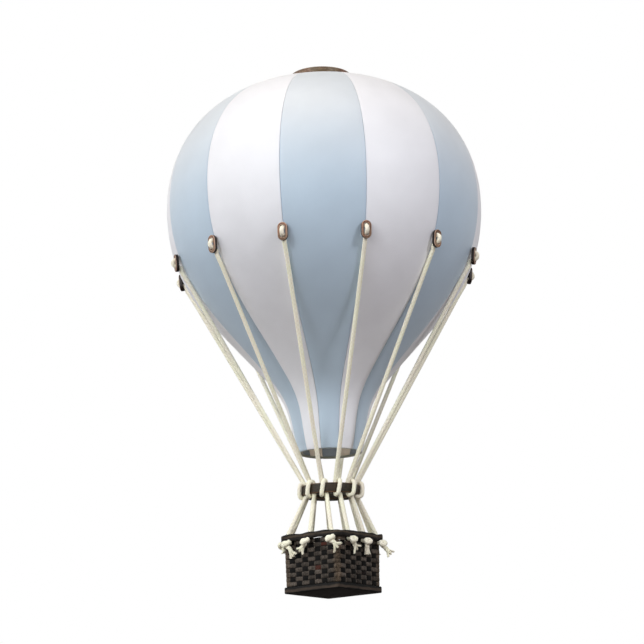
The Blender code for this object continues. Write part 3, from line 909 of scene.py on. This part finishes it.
def route_at_button(azimuth):
    """The rope's middle as it arches out of the slot and back, then under the plate's lower end."""
    middle, _, along, out = button_frame(azimuth)
    # along the button, out of its back face
    places = (
        (0.0034, 0.0006),
        (0.0033, 0.0016),
        (0.0026, 0.0034),
        (0.0010, 0.0047),
        (-0.0006, 0.0049),
        (-0.0022, 0.0039),
        (-0.0032, 0.0022),
        (-0.0035, 0.0004),
        (-0.0043, -0.0016),
        (-0.0060, -0.0023),
        (-0.0085, -0.0023),
    )
    return [middle + along * way + out * height for way, height in places]


def route_on_ring(azimuth, side):
    """Down through the ring, out under it, up its face, over the top and down through it again.

    A rope that winds to neither side only slants down through its hole.
    """
    top = RING_HEIGHT / 2
    near = ROPE_CIRCLE_RADIUS
    soft = 0.0008
    if side == 0:
        return [
            at(azimuth, near, RING_Z + top - soft),
            at(azimuth, near, RING_Z - top, -PASS_OFFSET),
        ]
    wall = near + OVAL_HALF_WIDTH
    bend = ROPE_CLEAR * math.sqrt(0.5)
    face = RING_RADIUS + ROPE_CLEAR
    # radius, height above the ring's middle, share of the way from first pass to second
    places = (
        (near, top - soft, -1.0),
        (near, soft - top, -1.0),
        (wall - bend, -top - bend, -0.97),
        (wall, -top - ROPE_CLEAR, -0.88),
        (RING_RADIUS - soft, -top - ROPE_CLEAR, -0.65),
        (face - soft, -top - ROPE_CLEAR + soft, -0.45),
        (face, soft - top, -0.25),
        (face, top - soft, 0.40),
        (face - soft, top + ROPE_CLEAR - soft, 0.55),
        (RING_RADIUS - soft, top + ROPE_CLEAR, 0.70),
        (wall, top + ROPE_CLEAR, 0.90),
        (wall - bend, top + bend, 0.97),
        (near, top - soft, 1.0),
        (near, -top, 1.0),
    )
    return [
        at(azimuth, radius, RING_Z + height, side * PASS_OFFSET * share)
        for radius, height, share in places
    ]


def side_azimuth(side):
    return BASKET_TURN + side * math.pi / 2


def route_at_basket(side, inside, knot):
    """Down inside the rim, out through the weave under it, and round in an overhand knot."""
    facing = side_azimuth(side)
    inner = RIM_INNER_HALF - ROPE_CLEAR
    bend = ROPE_CLEAR * math.sqrt(0.5)
    low = RIM_BOTTOM_Z
    # distance out from the basket's middle, z, place along the side
    places = (
        (inner, RIM_TOP_Z, inside),
        (inner, low + bend, knot),
        (inner, low, knot),
        (RIM_INNER_HALF - bend, low - bend, knot),
        (RIM_INNER_HALF, low - ROPE_CLEAR, knot),
    )
    route = [at(facing, reach, z, place) for reach, z, place in places]
    middle = at(facing, BASKET_KNOT_REACH, low - BASKET_KNOT_DROP, knot)
    # aside, out of the basket and up from the knot's middle, in rope diameters
    turns = (
        (0.0, -0.20, 0.05),
        (-0.50, 0.45, 0.35),
        (-0.95, 0.55, -0.10),
        (-0.45, 0.75, -0.55),
        (0.45, 0.95, -0.15),
        (1.00, 0.45, 0.25),
        (0.45, -0.05, 0.50),
        (-0.25, 0.15, -0.10),
        (0.0, 0.35, -0.70),
    )
    return route + [middle + at(facing, out, up, aside) * 2 * ROPE_RADIUS for aside, out, up in turns]


def tail_point(side, knot, tail, share):
    """A point on the rope's tail, at a share of its drop below the knot."""
    lean, drop, stand = tail
    z = RIM_BOTTOM_Z - BASKET_KNOT_DROP - drop * share
    return at(side_azimuth(side), WEAVE_HALF + TAIL_REACH + stand * share, z, knot + lean * share)


def rope_tree():
    """A braided cord along the given line, its bends rounded, with yarns that spread at its end."""
    tree, given, node = new_shape_tree(
        "Braided rope",
        Float=("Radius", "Step", "Plait", "Relief", "Yarn radius", "Flare"),
        Int=("Smoothing", "Sides", "Yarns", "Seed"),
        Vector=("Tail start", "Tail way", "Tail aside", "Tail out"),
        Material=("Material",),
    )
    around, along, tuft = (
        node("InputNamedAttribute", data_type="FLOAT", Name=name) for name in ("around", "run", "tuft")
    )
    middle, root = (
        node("InputNamedAttribute", data_type="FLOAT_VECTOR", Name=name) for name in ("middle", "root")
    )
    position = node("InputPosition")
    spline = node("SplineParameter").outputs
    line = node("MeshToCurve", Mesh=given["Geometry"])
    even = node("ResampleCurve", mode="LENGTH", Curve=line, Length=given["Step"])
    blur = {"data_type": "FLOAT_VECTOR", "Iterations": given["Smoothing"]}
    blurred = node("BlurAttribute", Value=position, **blur)
    path = node("SetPosition", Geometry=even, Position=blurred)
    for name, kind, value in (
        ("run", "FLOAT", spline["Length"]),
        ("middle", "FLOAT_VECTOR", position),
    ):
        path = node("StoreNamedAttribute", data_type=kind, Geometry=path, Name=name, Value=value)
    # the turn round the section is stored on its points and carried along the sweep
    section = node("CurvePrimitiveCircle", Resolution=given["Sides"], Radius=given["Radius"])
    kept = {"data_type": "FLOAT", "Name": "around", "Value": spline["Factor"]}
    section = node("StoreNamedAttribute", Geometry=section, **kept)
    swept = node("CurveToMesh", Curve=path, Profile_Curve=section, Fill_Caps=True)
    # strands that wind both ways stand out where either is on top
    turns_along = node("Math DIVIDE", along, given["Plait"])
    turn, wind = (
        node("Math MULTIPLY", turns, 2 * math.pi * ROPE_STRANDS) for turns in (around, turns_along)
    )
    left, right = (node("Math COSINE", node(f"Math {way}", turn, wind)) for way in ("ADD", "SUBTRACT"))
    on_top = node("Math MAXIMUM", left, right)
    height = node("Math MULTIPLY", on_top, given["Relief"])
    arm = node("VectorMath SUBTRACT", position, middle)
    arm_way = node("VectorMath NORMALIZE", arm)
    raised = node("VectorMath SCALE", arm_way, height)
    braided = node("SetPosition", Geometry=swept, Offset=raised)
    # frayed end: one short curve for each yarn, copied on points that all lie at the origin
    spots = node("MeshLine", mode="OFFSET", Count=given["Yarns"], Offset=(0, 0, 0))
    index = node("InputIndex")
    span = {"data_type": "FLOAT_VECTOR", "Min": (-1, -1, -1), "Max": (1, 1, 1)}
    drawn = node("RandomValue", ID=index, Seed=given["Seed"], **span)
    third = node("Math MODULO", index, 3.0)
    tuft_side = node("Math SUBTRACT", third, 1.0)
    for name, kind, value in (("root", "FLOAT_VECTOR", drawn), ("tuft", "FLOAT", tuft_side)):
        spots = node("StoreNamedAttribute", data_type=kind, Geometry=spots, Name=name, Value=value)
    straight = node("CurvePrimitiveLine", Start=(0, 0, 0), End=(0, 0, 1))
    yarn = node("ResampleCurve", Curve=straight, Count=YARN_POINTS)
    yarns = node("InstanceOnPoints", Points=spots, Instance=yarn)
    loose = node("RealizeInstances", Geometry=yarns)
    share = node("SeparateXYZ", position).outputs["Z"]
    root_aside, root_out, root_length = node("SeparateXYZ", root).outputs
    # yarns differ by a tenth in length
    reach = node("Math MULTIPLY_ADD", root_length, 0.10, 0.95)
    down = node("Math MULTIPLY", share, reach)
    bend = node("Math POWER", share, 1.7)
    spread = node("Math MULTIPLY", bend, given["Flare"])
    tuft_aside = node("Math MULTIPLY", tuft, spread)
    # the yarns of a tuft draw together a little towards its tip
    packed = node("Math MULTIPLY", given["Radius"], 0.80)
    drawn_in = node("Math MULTIPLY_ADD", share, -0.38, 1.0)
    bundle = node("Math MULTIPLY", packed, drawn_in)
    aside = node("Math MULTIPLY_ADD", root_aside, bundle, tuft_aside)
    out = node("Math MULTIPLY", root_out, bundle)
    legs = ((given["Tail way"], down), (given["Tail aside"], aside), (given["Tail out"], out))
    bent = node("SetPosition", Geometry=loose, Position=go(node, given["Tail start"], *legs))
    # each yarn thins to two thirds at its tip
    thin = node("Math MULTIPLY_ADD", spline["Factor"], -0.35, 1.0)
    yarn_section = node("CurvePrimitiveCircle", Resolution=YARN_SIDES, Radius=given["Yarn radius"])
    sweep = {"Profile_Curve": yarn_section, "Scale": thin, "Fill_Caps": True}
    frayed = node("CurveToMesh", Curve=bent, **sweep)
    whole = node("JoinGeometry")
    for shape, furrow in ((frayed, 1.0), (braided, on_top)):
        kept = {"data_type": "FLOAT", "Name": "furrow", "Value": furrow}
        shape = node("StoreNamedAttribute", Geometry=shape, **kept)
        feed(whole, Geometry=shape)
    return end_tree(tree, given, whole)


def strip_tree():
    """Flat strips along the given lines, bent in and out by the waves that the lines hold."""
    tree, given, node = new_shape_tree(
        "Woven strips", Float=("Step", "Thickness"), Material=("Material",)
    )
    phase, wave, strip, half_width = (
        node("InputNamedAttribute", data_type="FLOAT", Name=name)
        for name in ("phase", "wave", "strip", "half_width")
    )
    out, wide, middle, corner = (
        node("InputNamedAttribute", data_type="FLOAT_VECTOR", Name=name)
        for name in ("out", "wide", "middle", "section")
    )
    position = node("InputPosition")
    line = node("MeshToCurve", Mesh=given["Geometry"])
    even = node("ResampleCurve", mode="LENGTH", Curve=line, Length=given["Step"])
    swing = node("Math COSINE", phase)
    bent = node("Math MULTIPLY", swing, wave)
    offset = node("VectorMath SCALE", out, bent)
    path = node("SetPosition", Geometry=even, Offset=offset)
    # a number for each cell, the stretch of a strip between two crossings
    half_turns = node("Math DIVIDE", phase, math.pi)
    crossing = node("Math ROUND", half_turns)
    cell = node("CombineXYZ", crossing, strip)
    box = node("CurvePrimitiveQuadrilateral", Width=2.0, Height=2.0)
    section = node("FilletCurve", mode="POLY", Curve=box, Count=3, Radius=0.75)
    for name, value in (("middle", position), ("cell", cell)):
        kept = {"data_type": "FLOAT_VECTOR", "Name": name, "Value": value}
        path = node("StoreNamedAttribute", Geometry=path, **kept)
    kept = {"data_type": "FLOAT_VECTOR", "Name": "section", "Value": position}
    section = node("StoreNamedAttribute", Geometry=section, **kept)
    swept = node("CurveToMesh", Curve=path, Profile_Curve=section, Fill_Caps=True)
    parts = node("SeparateXYZ", corner).outputs
    half_thick = node("Math MULTIPLY", given["Thickness"], 0.5)
    out_by = node("Math MULTIPLY", parts["X"], half_thick)
    wide_by = node("Math MULTIPLY", parts["Y"], half_width)
    spot = go(node, middle, (out, out_by), (wide, wide_by))
    shaped = node("SetPosition", Geometry=swept, Position=spot)
    return end_tree(tree, given, shaped)


def on_basket_side(side, along, half, corner, z):
    """The point and outward way at a place along a basket side, round its corners."""
    straight = half - corner
    past = max(abs(along) - straight, 0) / corner
    facing = side_azimuth(side)
    if past == 0:
        return at(facing, half, z, along), outward(facing)
    turn = math.copysign(math.radians(45) * min(past, 1), along)
    middle = at(facing, straight, z, math.copysign(straight, along))
    out = outward(facing + turn)
    return middle + out * corner, out


def upright_number(side, place, spans):
    """How many uprights lie before a place on a side, counted so that a corner lies half way."""
    before = side * (spans - 1)
    if place < 1:
        return before - (1 - place) / 2
    if place > spans - 1:
        return before + spans - 2 + (place - spans + 1) / 2
    return before + place - 1


def weave_lines(basket):
    """The middles of the woven strips and of the uprights, with the ways and waves of each.

    A strip passes over every second upright, and the next row over the others. No upright stands
    at a corner, so every row shows there.
    """
    low = BASE_TOP_Z + GAP
    high = RIM_BOTTOM_Z - GAP
    pitch = (high - low) / basket.rows
    middle_depth = basket.wave + basket.strip / 2 + WEAVE_CLEAR
    down = Vector((0, 0, -1))
    names = ("out", "wide", "phase", "wave", "half_width", "kind", "strip", "wear")

    def spot(side, place, z):
        share = (high - z) / (high - low)
        half = WEAVE_HALF - WEAVE_TAPER * share - middle_depth
        along = (place / basket.spans - 0.5) * 2 * half
        return on_basket_side(side, along, half, WEAVE_CORNER, z)

    strips = []
    strip_marks = []
    for row in range(basket.rows):
        z = low + pitch * (row + 0.5)
        points = []
        for step in range(4 * basket.spans * WEAVE_POINTS):
            side, place = divmod(step / WEAVE_POINTS, basket.spans)
            point, out = spot(side, place, z)
            wear = max(0.0, 1 - min(place, basket.spans - place) / CORNER_WEAR)
            # round a corner the strip is pulled out to the basket's full size
            points.append(point + out * basket.wave * min(1.0, 1.6 * wear))
            phase = math.pi * (upright_number(side, place, basket.spans) + row + 1)
            # and drawn a little wider, because no upright fills the slits there
            half_width = basket.strip_width / 2 + CORNER_WIDENING * wear
            strip_marks.append((out, down, phase, basket.wave, half_width, 0.0, row, wear))
        strips.append(points)
    uprights = []
    upright_marks = []
    for side in range(4):
        for place in range(1, basket.spans):
            number = upright_number(side, place, basket.spans)
            points = []
            for step in range(basket.rows * STAKE_POINTS + 1):
                z = low + (high - low) * step / (basket.rows * STAKE_POINTS)
                point, out = spot(side, place, z)
                points.append(point)
                phase = math.pi * ((z - low) / pitch - 0.5 + number)
                wide = out.cross(down)
                half_width = basket.stake_width / 2
                strip = basket.rows + number
                upright_marks.append(
                    (out, wide, phase, basket.stake_wave, half_width, 1.0, strip, 0.0)
                )
            uprights.append(points)
    return (
        (strips, dict(zip(names, zip(*strip_marks)))),
        (uprights, dict(zip(names, zip(*upright_marks)))),
    )


def join_meshes(name, meshes):
    """One object from several meshes, with their materials and attributes."""
    objects = [place(f"{name}_{number}", data) for number, data in enumerate(meshes)]
    with bpy.context.temp_override(
        active_object=objects[0], object=objects[0], selected_editable_objects=objects
    ):
        bpy.ops.object.join()
    objects[0].name = name
    return objects[0]


def band_mesh(name, material, half, corner, section, wobble, swell, steps, capped=False):
    """A section swept round the basket, given as (out, height) pairs, with a UV map in metres.

    Wobble and swell give how far a point is moved up and out. A capped band is a plate, closed
    over its two ends.
    """
    rings = []
    for out_by, up in section:
        ring = []
        for step in range(4 * steps):
            side, place = divmod(step, steps)
            along = (place / steps - 0.5) * 2 * half
            point, out = on_basket_side(side, along, half, corner, 0)
            height = Vector((0, 0, up + wobble(point, up)))
            ring.append(point + out * (out_by + swell(point, up)) + height)
        rings.append(ring)
    if capped:
        bottom, top = ([point * Vector((0.5, 0.5, 1)) for point in rings[end]] for end in (0, -1))
        rings = [bottom, *rings, top]
    data = mesh_of(name, [rings], material, ring=not capped)
    layer = data.uv_layers.new(name="UVMap")
    around = 4 * steps
    perimeter = 8 * WEAVE_HALF
    for polygon in data.polygons:
        corners = [data.loops[index].vertex_index for index in polygon.loop_indices]
        shares = [(corner % around) / around for corner in corners]
        wraps = max(shares) - min(shares) > 0.5
        for index, corner, share in zip(polygon.loop_indices, corners, shares):
            if wraps and share < 0.5:
                share += 1
            layer.data[index].uv = (share * perimeter, corner // around * BAND_ROW)
    return data


class BALLOON_OT_envelope(bpy.types.Operator):
    """Makes the twelve paper gores"""

    bl_idname = "balloon.envelope"
    bl_label = "Envelope"

    def execute(self, context):
        envelope = settings("envelope")
        blue = (envelope.blue, envelope.blue_faded, envelope.blue_seam, envelope.blue_lining)
        white = (envelope.white, envelope.white, envelope.white_seam, envelope.white_lining)
        papers = [
            (slot, paper_material(name, *colours, envelope.board))
            for slot, name, colours in (
                ("pale_blue_paper", "Pale blue cloth-grained paper", blue),
                ("white_paper", "White cloth-grained paper", white),
            )
        ]
        tree = gore_tree()
        section = gore_section(envelope)
        for index in range(GORE_COUNT):
            slot, material = papers[index % 2]
            values = {
                "Azimuth": 2 * math.pi * index / GORE_COUNT,
                "Half angle": math.pi / GORE_COUNT,
                "Gap": GAP,
                "Columns": envelope.columns,
                "Seam depth": envelope.groove_depth,
                "Seam width": envelope.groove_width,
                "Material": material,
            }
            gore = grow(f"paper_gore_{index + 1:02d}", section, tree, values)
            finish_piece(gore, [f"gore_{index + 1:02d}"], sharp=60)
        return {"FINISHED"}


class BALLOON_OT_wood(bpy.types.Operator):
    """Makes the turned disc, the slotted buttons and the ring"""

    bl_idname = "balloon.wood"
    bl_label = "Wooden Pieces"

    def execute(self, context):
        wood = settings("wood")
        self.make_disc(wood)
        self.make_buttons(wood)
        self.make_ring(wood)
        return {"FINISHED"}

    def make_disc(self, wood):
        material = wood_material(
            "Stained turned ash", wood, "disc", edge_highlight_and_wear=0.3, ring_width=0.0012, along=0
        )
        low, high = DISC_LOW.z, DISC_HIGH.z
        outside = edged_side(high, low, wood.edge)
        loops = [circle(DISC_HIGH.x + grown, wood.sides, z) for grown, z in outside]
        loops += [circle(DISC_HOLE_RADIUS, wood.sides, z) for z in (low, high)]
        disc = place("turned_disc", mesh_of("turned_disc", [loops], material, ring=True))
        mark_edges(disc.data, wood.sides, 2)
        finish_piece(disc, ["crown_disc"])

    def make_buttons(self, wood):
        material = wood_material(
            "Waxed rosewood", wood, "button", edge_highlight_and_wear=0.85, ring_width=0.0009, along=1, source="grain"
        )
        frames = [button_frame(math.radians(row[0])) for row in ROPES]
        middles, across, _, out = zip(*frames)
        places = strings([[middle] for middle in middles], across=across, out=out)
        pattern = place("button_pattern", button_mesh(wood))
        values = {"Button": pattern, "Seed": BUTTON_SEED, "Material": material}
        buttons = grow("slotted_buttons", places, button_tree(), values)
        bpy.data.objects.remove(pattern)
        nodes = [f"button_{number:02d}" for number in range(1, len(ROPES) + 1)]
        finish_piece(buttons, nodes)

    def make_ring(self, wood):
        material = wood_material(
            "Dark stained oak", wood, "ring", edge_highlight_and_wear=0.75, ring_width=0.0011, along=0
        )
        low, high = RING_LOW.z, RING_HIGH.z
        loops = []
        for radius, start, end in ((RING_RADIUS, high, low), (RING_BORE_RADIUS, low, high)):
            side = edged_side(start, end, wood.edge)
            loops += [circle(radius + grown, wood.sides, z) for grown, z in side]
        ring = place("rope_ring", mesh_of("rope_ring", [loops], material, ring=True))
        mark_edges(ring.data, wood.sides, 4)
        holes = place("rope_ring_holes", mesh_of("rope_ring_holes", self.ring_holes(), material))
        cut = ring.modifiers.new("Rope holes", "BOOLEAN")
        cut.operation = "DIFFERENCE"
        cut.solver = "EXACT"
        cut.object = holes
        ring.data = plain_mesh(ring, cut)
        bpy.data.objects.remove(holes)
        finish_piece(ring, ["ring"])

    def ring_holes(self):
        """Loops of an oval prism through the ring for each rope"""
        width = 2 * OVAL_HALF_WIDTH
        hole = oval(2 * PASS_OFFSET + width, width, 0, HOLE_END_STEPS)
        prisms = []
        for row in ROPES:
            azimuth = math.radians(row[0])
            turned = Matrix.Rotation(azimuth + math.pi / 2, 4, "Z")
            loops = []
            for z in (RING_LOW.z - RING_HEIGHT, RING_HIGH.z + RING_HEIGHT):
                placed = Matrix.Translation(at(azimuth, ROPE_CIRCLE_RADIUS, z)) @ turned
                loops.append([placed @ point for point in hole])
            prisms.append(loops)
        return prisms


class BALLOON_OT_ropes(bpy.types.Operator):
    """Makes the twelve braided ropes with their knots and frayed ends"""

    bl_idname = "balloon.ropes"
    bl_label = "Ropes"

    def execute(self, context):
        rope = settings("rope")
        tree = rope_tree()
        material = cotton_material("Undyed braided cotton", rope.cotton, rope.shade)
        entry = Vector((ROPE_CIRCLE_RADIUS + ENTRY_OUT, RING_HIGH.z + ENTRY_RISE))
        leave = leave_point(entry)
        for number, row in enumerate(ROPES, start=1):
            degrees, wind, side, inside, knot, *tail, flare = row
            azimuth = math.radians(degrees)
            points = route_at_button(azimuth)
            points.append(at(azimuth, leave.x, leave.y))
            points.append(at(azimuth, entry.x, entry.y, -wind * PASS_OFFSET))
            points += route_on_ring(azimuth, wind)
            points += route_at_basket(side, inside, knot)
            points += [tail_point(side, knot, tail, share) for share in TAIL_SHARES]
            start = tail_point(side, knot, tail, FRAY_SHARE)
            way = tail_point(side, knot, tail, 1.0) - start
            aside = outward(side_azimuth(side)).cross(way).normalized()
            values = {
                "Radius": ROPE_RADIUS,
                "Step": rope.step,
                "Smoothing": rope.smoothing,
                "Sides": rope.sides,
                "Plait": rope.pitch,
                "Relief": rope.relief,
                "Yarns": rope.fibres,
                "Yarn radius": rope.fibre_radius,
                "Tail start": start,
                "Tail way": way,
                "Tail aside": aside,
                "Tail out": way.cross(aside).normalized(),
                "Flare": flare * rope.flare,
                "Seed": number,
                "Material": material,
            }
            made = grow(f"cotton_rope_{number:02d}", strings([points]), tree, values)
            finish_piece(made, [f"rope_{number:02d}"], sharp=80)
        return {"FINISHED"}


class BALLOON_OT_basket(bpy.types.Operator):
    """Makes the woven sides, the rim and the base board of the basket"""

    bl_idname = "balloon.basket"
    bl_label = "Basket"

    def execute(self, context):
        basket = settings("basket")
        self.make_weave(basket)
        self.make_rim(basket)
        self.make_base(basket)
        return {"FINISHED"}

    def make_weave(self, basket):
        material = rattan_material("Dark stained split rattan", basket)
        tree = strip_tree()
        values = {"Step": WEAVE_STEP, "Thickness": basket.strip, "Material": material}
        made = []
        for closed, (lines, attributes) in zip((True, False), weave_lines(basket)):
            strip = grow("strips", strings(lines, closed=closed, **attributes), tree, values)
            made.append(strip.data)
            bpy.data.objects.remove(strip)
        weave = join_meshes("rattan_weave", made)
        finish_piece(weave, ["basket_weave"], sharp=50)

    def make_rim(self, basket):
        dark, worn = basket.rim_dark, basket.rim_worn
        # painted shade: the rim is painted near black at its bottom, in part for the shade under the
        # binding; a lighter worn band lies above it and a dark edge on top
        stops = ((0.0, dark), (0.3, dark), (0.5, worn), (0.68, worn), (0.85, dark), (1.0, dark))
        material = band_material("Bound split rattan", RIM_BOTTOM_Z, RIM_TOP_Z, stops)
        half = (RIM_HALF + RIM_INNER_HALF) / 2
        reach = (RIM_HALF - RIM_INNER_HALF) / 2
        rise = (RIM_TOP_Z - RIM_BOTTOM_Z) / 2
        section = []
        for step in range(RIM_AROUND):
            turn = 2 * math.pi * step / RIM_AROUND
            out = math.copysign(abs(math.cos(turn)) ** 0.6, math.cos(turn)) * reach
            up = math.copysign(abs(math.sin(turn)) ** 0.7, math.sin(turn)) * rise
            section.append((out, up + RIM_BOTTOM_Z + rise))

        # the binding sits loosely at one place, where light comes through under it, and is
        # pressed down over the front corner: place, reach and rise of each such mark
        loose = at(side_azimuth(3), half, 0, 0.0085)
        front = at(side_azimuth(3), half, 0, half)
        bottom_marks = ((loose, 0.0048, 0.0007), (front, 0.0115, -0.0006))
        top_marks = ((front, 0.009, -0.0008),)

        def rise_at(point, marks):
            return sum(
                rise * math.exp(-(((point - place).length / reach) ** 2))
                for place, reach, rise in marks
            )

        def wobble(point, up):
            low_share = (RIM_TOP_Z - up) / (RIM_TOP_Z - RIM_BOTTOM_Z)
            bottom = noise.noise(point * 70) * 0.0004 - 0.0009 + rise_at(point, bottom_marks)
            top = noise.noise(point * 95 + Vector((5, 2, 9))) * 0.0012 + 0.0002
            top += rise_at(point, top_marks)
            return bottom * low_share + top * (1 - low_share)

        def swell(point, up):
            return noise.noise(point * 130 + Vector((3, 1, 7 + up * 260))) * 0.0007 + 0.0005

        corner = RIM_CORNER - reach
        data = band_mesh("rattan_rim", material, half, corner, section, wobble, swell, RIM_STEPS)
        finish_piece(place("rattan_rim", data), ["basket_rim"])

    def make_base(self, basket):
        dark, worn = basket.board_dark, basket.board_worn
        # painted shade: the board is painted near black on its underside and low on its edge
        stops = ((0.0, dark), (0.16, dark), (0.26, worn), (0.5, worn), (0.7, dark), (1.0, dark))
        material = band_material("Dark stained board", BASE_BOTTOM_Z, BASE_TOP_Z, stops)
        data = band_mesh(
            "base_board",
            material,
            BASE_HALF,
            BASE_CORNER,
            edged_side(BASE_TOP_Z, BASE_BOTTOM_Z, BASE_EDGE)[::-1],
            lambda point, up: 0.0,
            lambda point, up: noise.noise(point * 70) * 0.0002,
            BASE_STEPS,
            capped=True,
        )
        finish_piece(place("base_board", data), ["basket_base"])


class BALLOON_OT_stage(bpy.types.Operator):
    """Makes the floor, the lights and the camera"""

    bl_idname = "balloon.stage"
    bl_label = "Stage"

    def execute(self, context):
        stage = settings("stage")
        scene = context.scene
        scene.view_settings.view_transform = "Standard"
        self.make_floor(stage)
        scene.world = self.make_world(stage)
        self.make_lights()
        data = bpy.data.cameras.new("camera")
        data.sensor_width = 36
        data.lens = stage.lens
        scene.camera = place("camera", data)
        scene.camera.location = CAMERA_PLACE
        pitched = Matrix.Rotation(math.pi / 2 + CAMERA_PITCH, 4, "X")
        turned = Matrix.Rotation(CAMERA_YAW, 4, "Z") @ pitched @ Matrix.Rotation(CAMERA_ROLL, 4, "Z")
        scene.camera.rotation_euler = turned.to_euler()
        return {"FINISHED"}

    def make_floor(self, stage):
        material, shader, node = new_material("Grey painted floor")
        grit = node("TexNoise", Scale=300.0, Detail=2.0)
        bump = node("Bump", Strength=0.05, Height=grit)
        feed(shader, Base_Color=stage.floor, Roughness=0.8, Normal=bump)
        corners = ((-1, -1), (1, -1), (1, 1), (-1, 1))
        points = [(x * FLOOR_HALF, y * FLOOR_HALF, stage.floor_z) for x, y in corners]
        data = bpy.data.meshes.new("floor")
        data.from_pydata(points, [], [(0, 1, 2, 3)])
        data.materials.append(material)
        place("floor", data)

    def make_world(self, stage):
        """A white surround, brightest at the front left, with nothing overhead"""
        world = bpy.data.worlds.new("surround")
        world.use_nodes = True
        world.node_tree.nodes.clear()
        node = partial(add, world.node_tree)
        way = node("TexCoord").outputs["Generated"]
        x, y, z = node("SeparateXYZ", way).outputs
        front = node("MapRange", x, -0.3, 0.3, 2.1, 0.49)
        around = node("MapRange", y, 0.2, 0.5, front, 1.0)
        low = node("MapRange", z, 0.45, 0.75, 1.0, 0.0)
        strength = node("Math MULTIPLY", around, low)
        air = node("Background", Color=stage.air, Strength=strength)
        node("OutputWorld", Surface=air)
        return world

    def make_lights(self):
        # a narrow light from the low front left picks out the ropes, the knots and the mouth, and
        # a weak one in the neck stands for the light that comes through the paper
        neck_place = (0, -0.012, MOUTH_Z + 0.040)
        neck_target = (0, 0.024, MOUTH_Z + 0.012)
        # name, place, target, power in watts, cone in degrees, softness of the cone, radius
        spots = (
            ("low_light", (-0.85, -1.05, -0.68), (0, 0, -0.40), 8.0, 11, 1.0, 0.12),
            ("neck_light", neck_place, neck_target, 0.018, 100, 0.5, 0.004),
        )
        for name, spot, target, power, cone, blend, radius in spots:
            data = bpy.data.lights.new(name, "SPOT")
            data.energy = power
            data.spot_size = math.radians(cone)
            data.spot_blend = blend
            data.shadow_soft_size = radius
            self.aim_light(data, spot, target)
        # name, place, size, power in watts, colour
        areas = (
            ("left_light", (-1.5, -1.9, 0.9), 0.5, 12.5, (0.87, 0.98, 1.0)),
            ("right_light", (1.6, -1.7, 0.8), 0.5, 22.5, (0.95, 0.96, 1.0)),
            ("top_light", (-0.3, -0.4, 1.9), 1.2, 13.0, (1.0, 0.82, 0.58)),
        )
        for name, spot, size, power, tint in areas:
            data = bpy.data.lights.new(name, "AREA")
            data.size = size
            data.energy = power
            data.color = tint
            self.aim_light(data, spot, (0, 0, -0.2))

    def aim_light(self, data, spot, target):
        light = place(data.name, data)
        light.location = spot
        way = Vector(target) - Vector(spot)
        light.rotation_euler = way.to_track_quat("-Z", "Y").to_euler()


class BALLOON_PT_sidebar(bpy.types.Panel):
    """Lists the settings and the operators of the model balloon"""

    bl_label = "Model Balloon"
    bl_space_type = "VIEW_3D"
    bl_region_type = "UI"
    bl_category = "Balloon"

    def draw(self, context):
        for group, kind, operator in PANEL_ROWS:
            box = self.layout.box()
            for name in kind.__annotations__:
                box.prop(settings(group), name)
            box.operator(operator.bl_idname)


PANEL_ROWS = (
    ("envelope", EnvelopeSettings, BALLOON_OT_envelope),
    ("wood", WoodSettings, BALLOON_OT_wood),
    ("rope", RopeSettings, BALLOON_OT_ropes),
    ("basket", BasketSettings, BALLOON_OT_basket),
    ("stage", StageSettings, BALLOON_OT_stage),
)


def register():
    for group, kind, operator in PANEL_ROWS:
        bpy.utils.register_class(kind)
        setattr(bpy.types.Scene, f"balloon_{group}", PointerProperty(type=kind))
        bpy.utils.register_class(operator)
    bpy.utils.register_class(BALLOON_PT_sidebar)


def unregister():
    bpy.utils.unregister_class(BALLOON_PT_sidebar)
    for group, kind, operator in reversed(PANEL_ROWS):
        bpy.utils.unregister_class(operator)
        delattr(bpy.types.Scene, f"balloon_{group}")
        bpy.utils.unregister_class(kind)


def main():
    register()
    bpy.ops.balloon.stage()
    bpy.ops.balloon.envelope()
    bpy.ops.balloon.wood()
    bpy.ops.balloon.ropes()
    bpy.ops.balloon.basket()


if __name__ == "__main__":
    main()
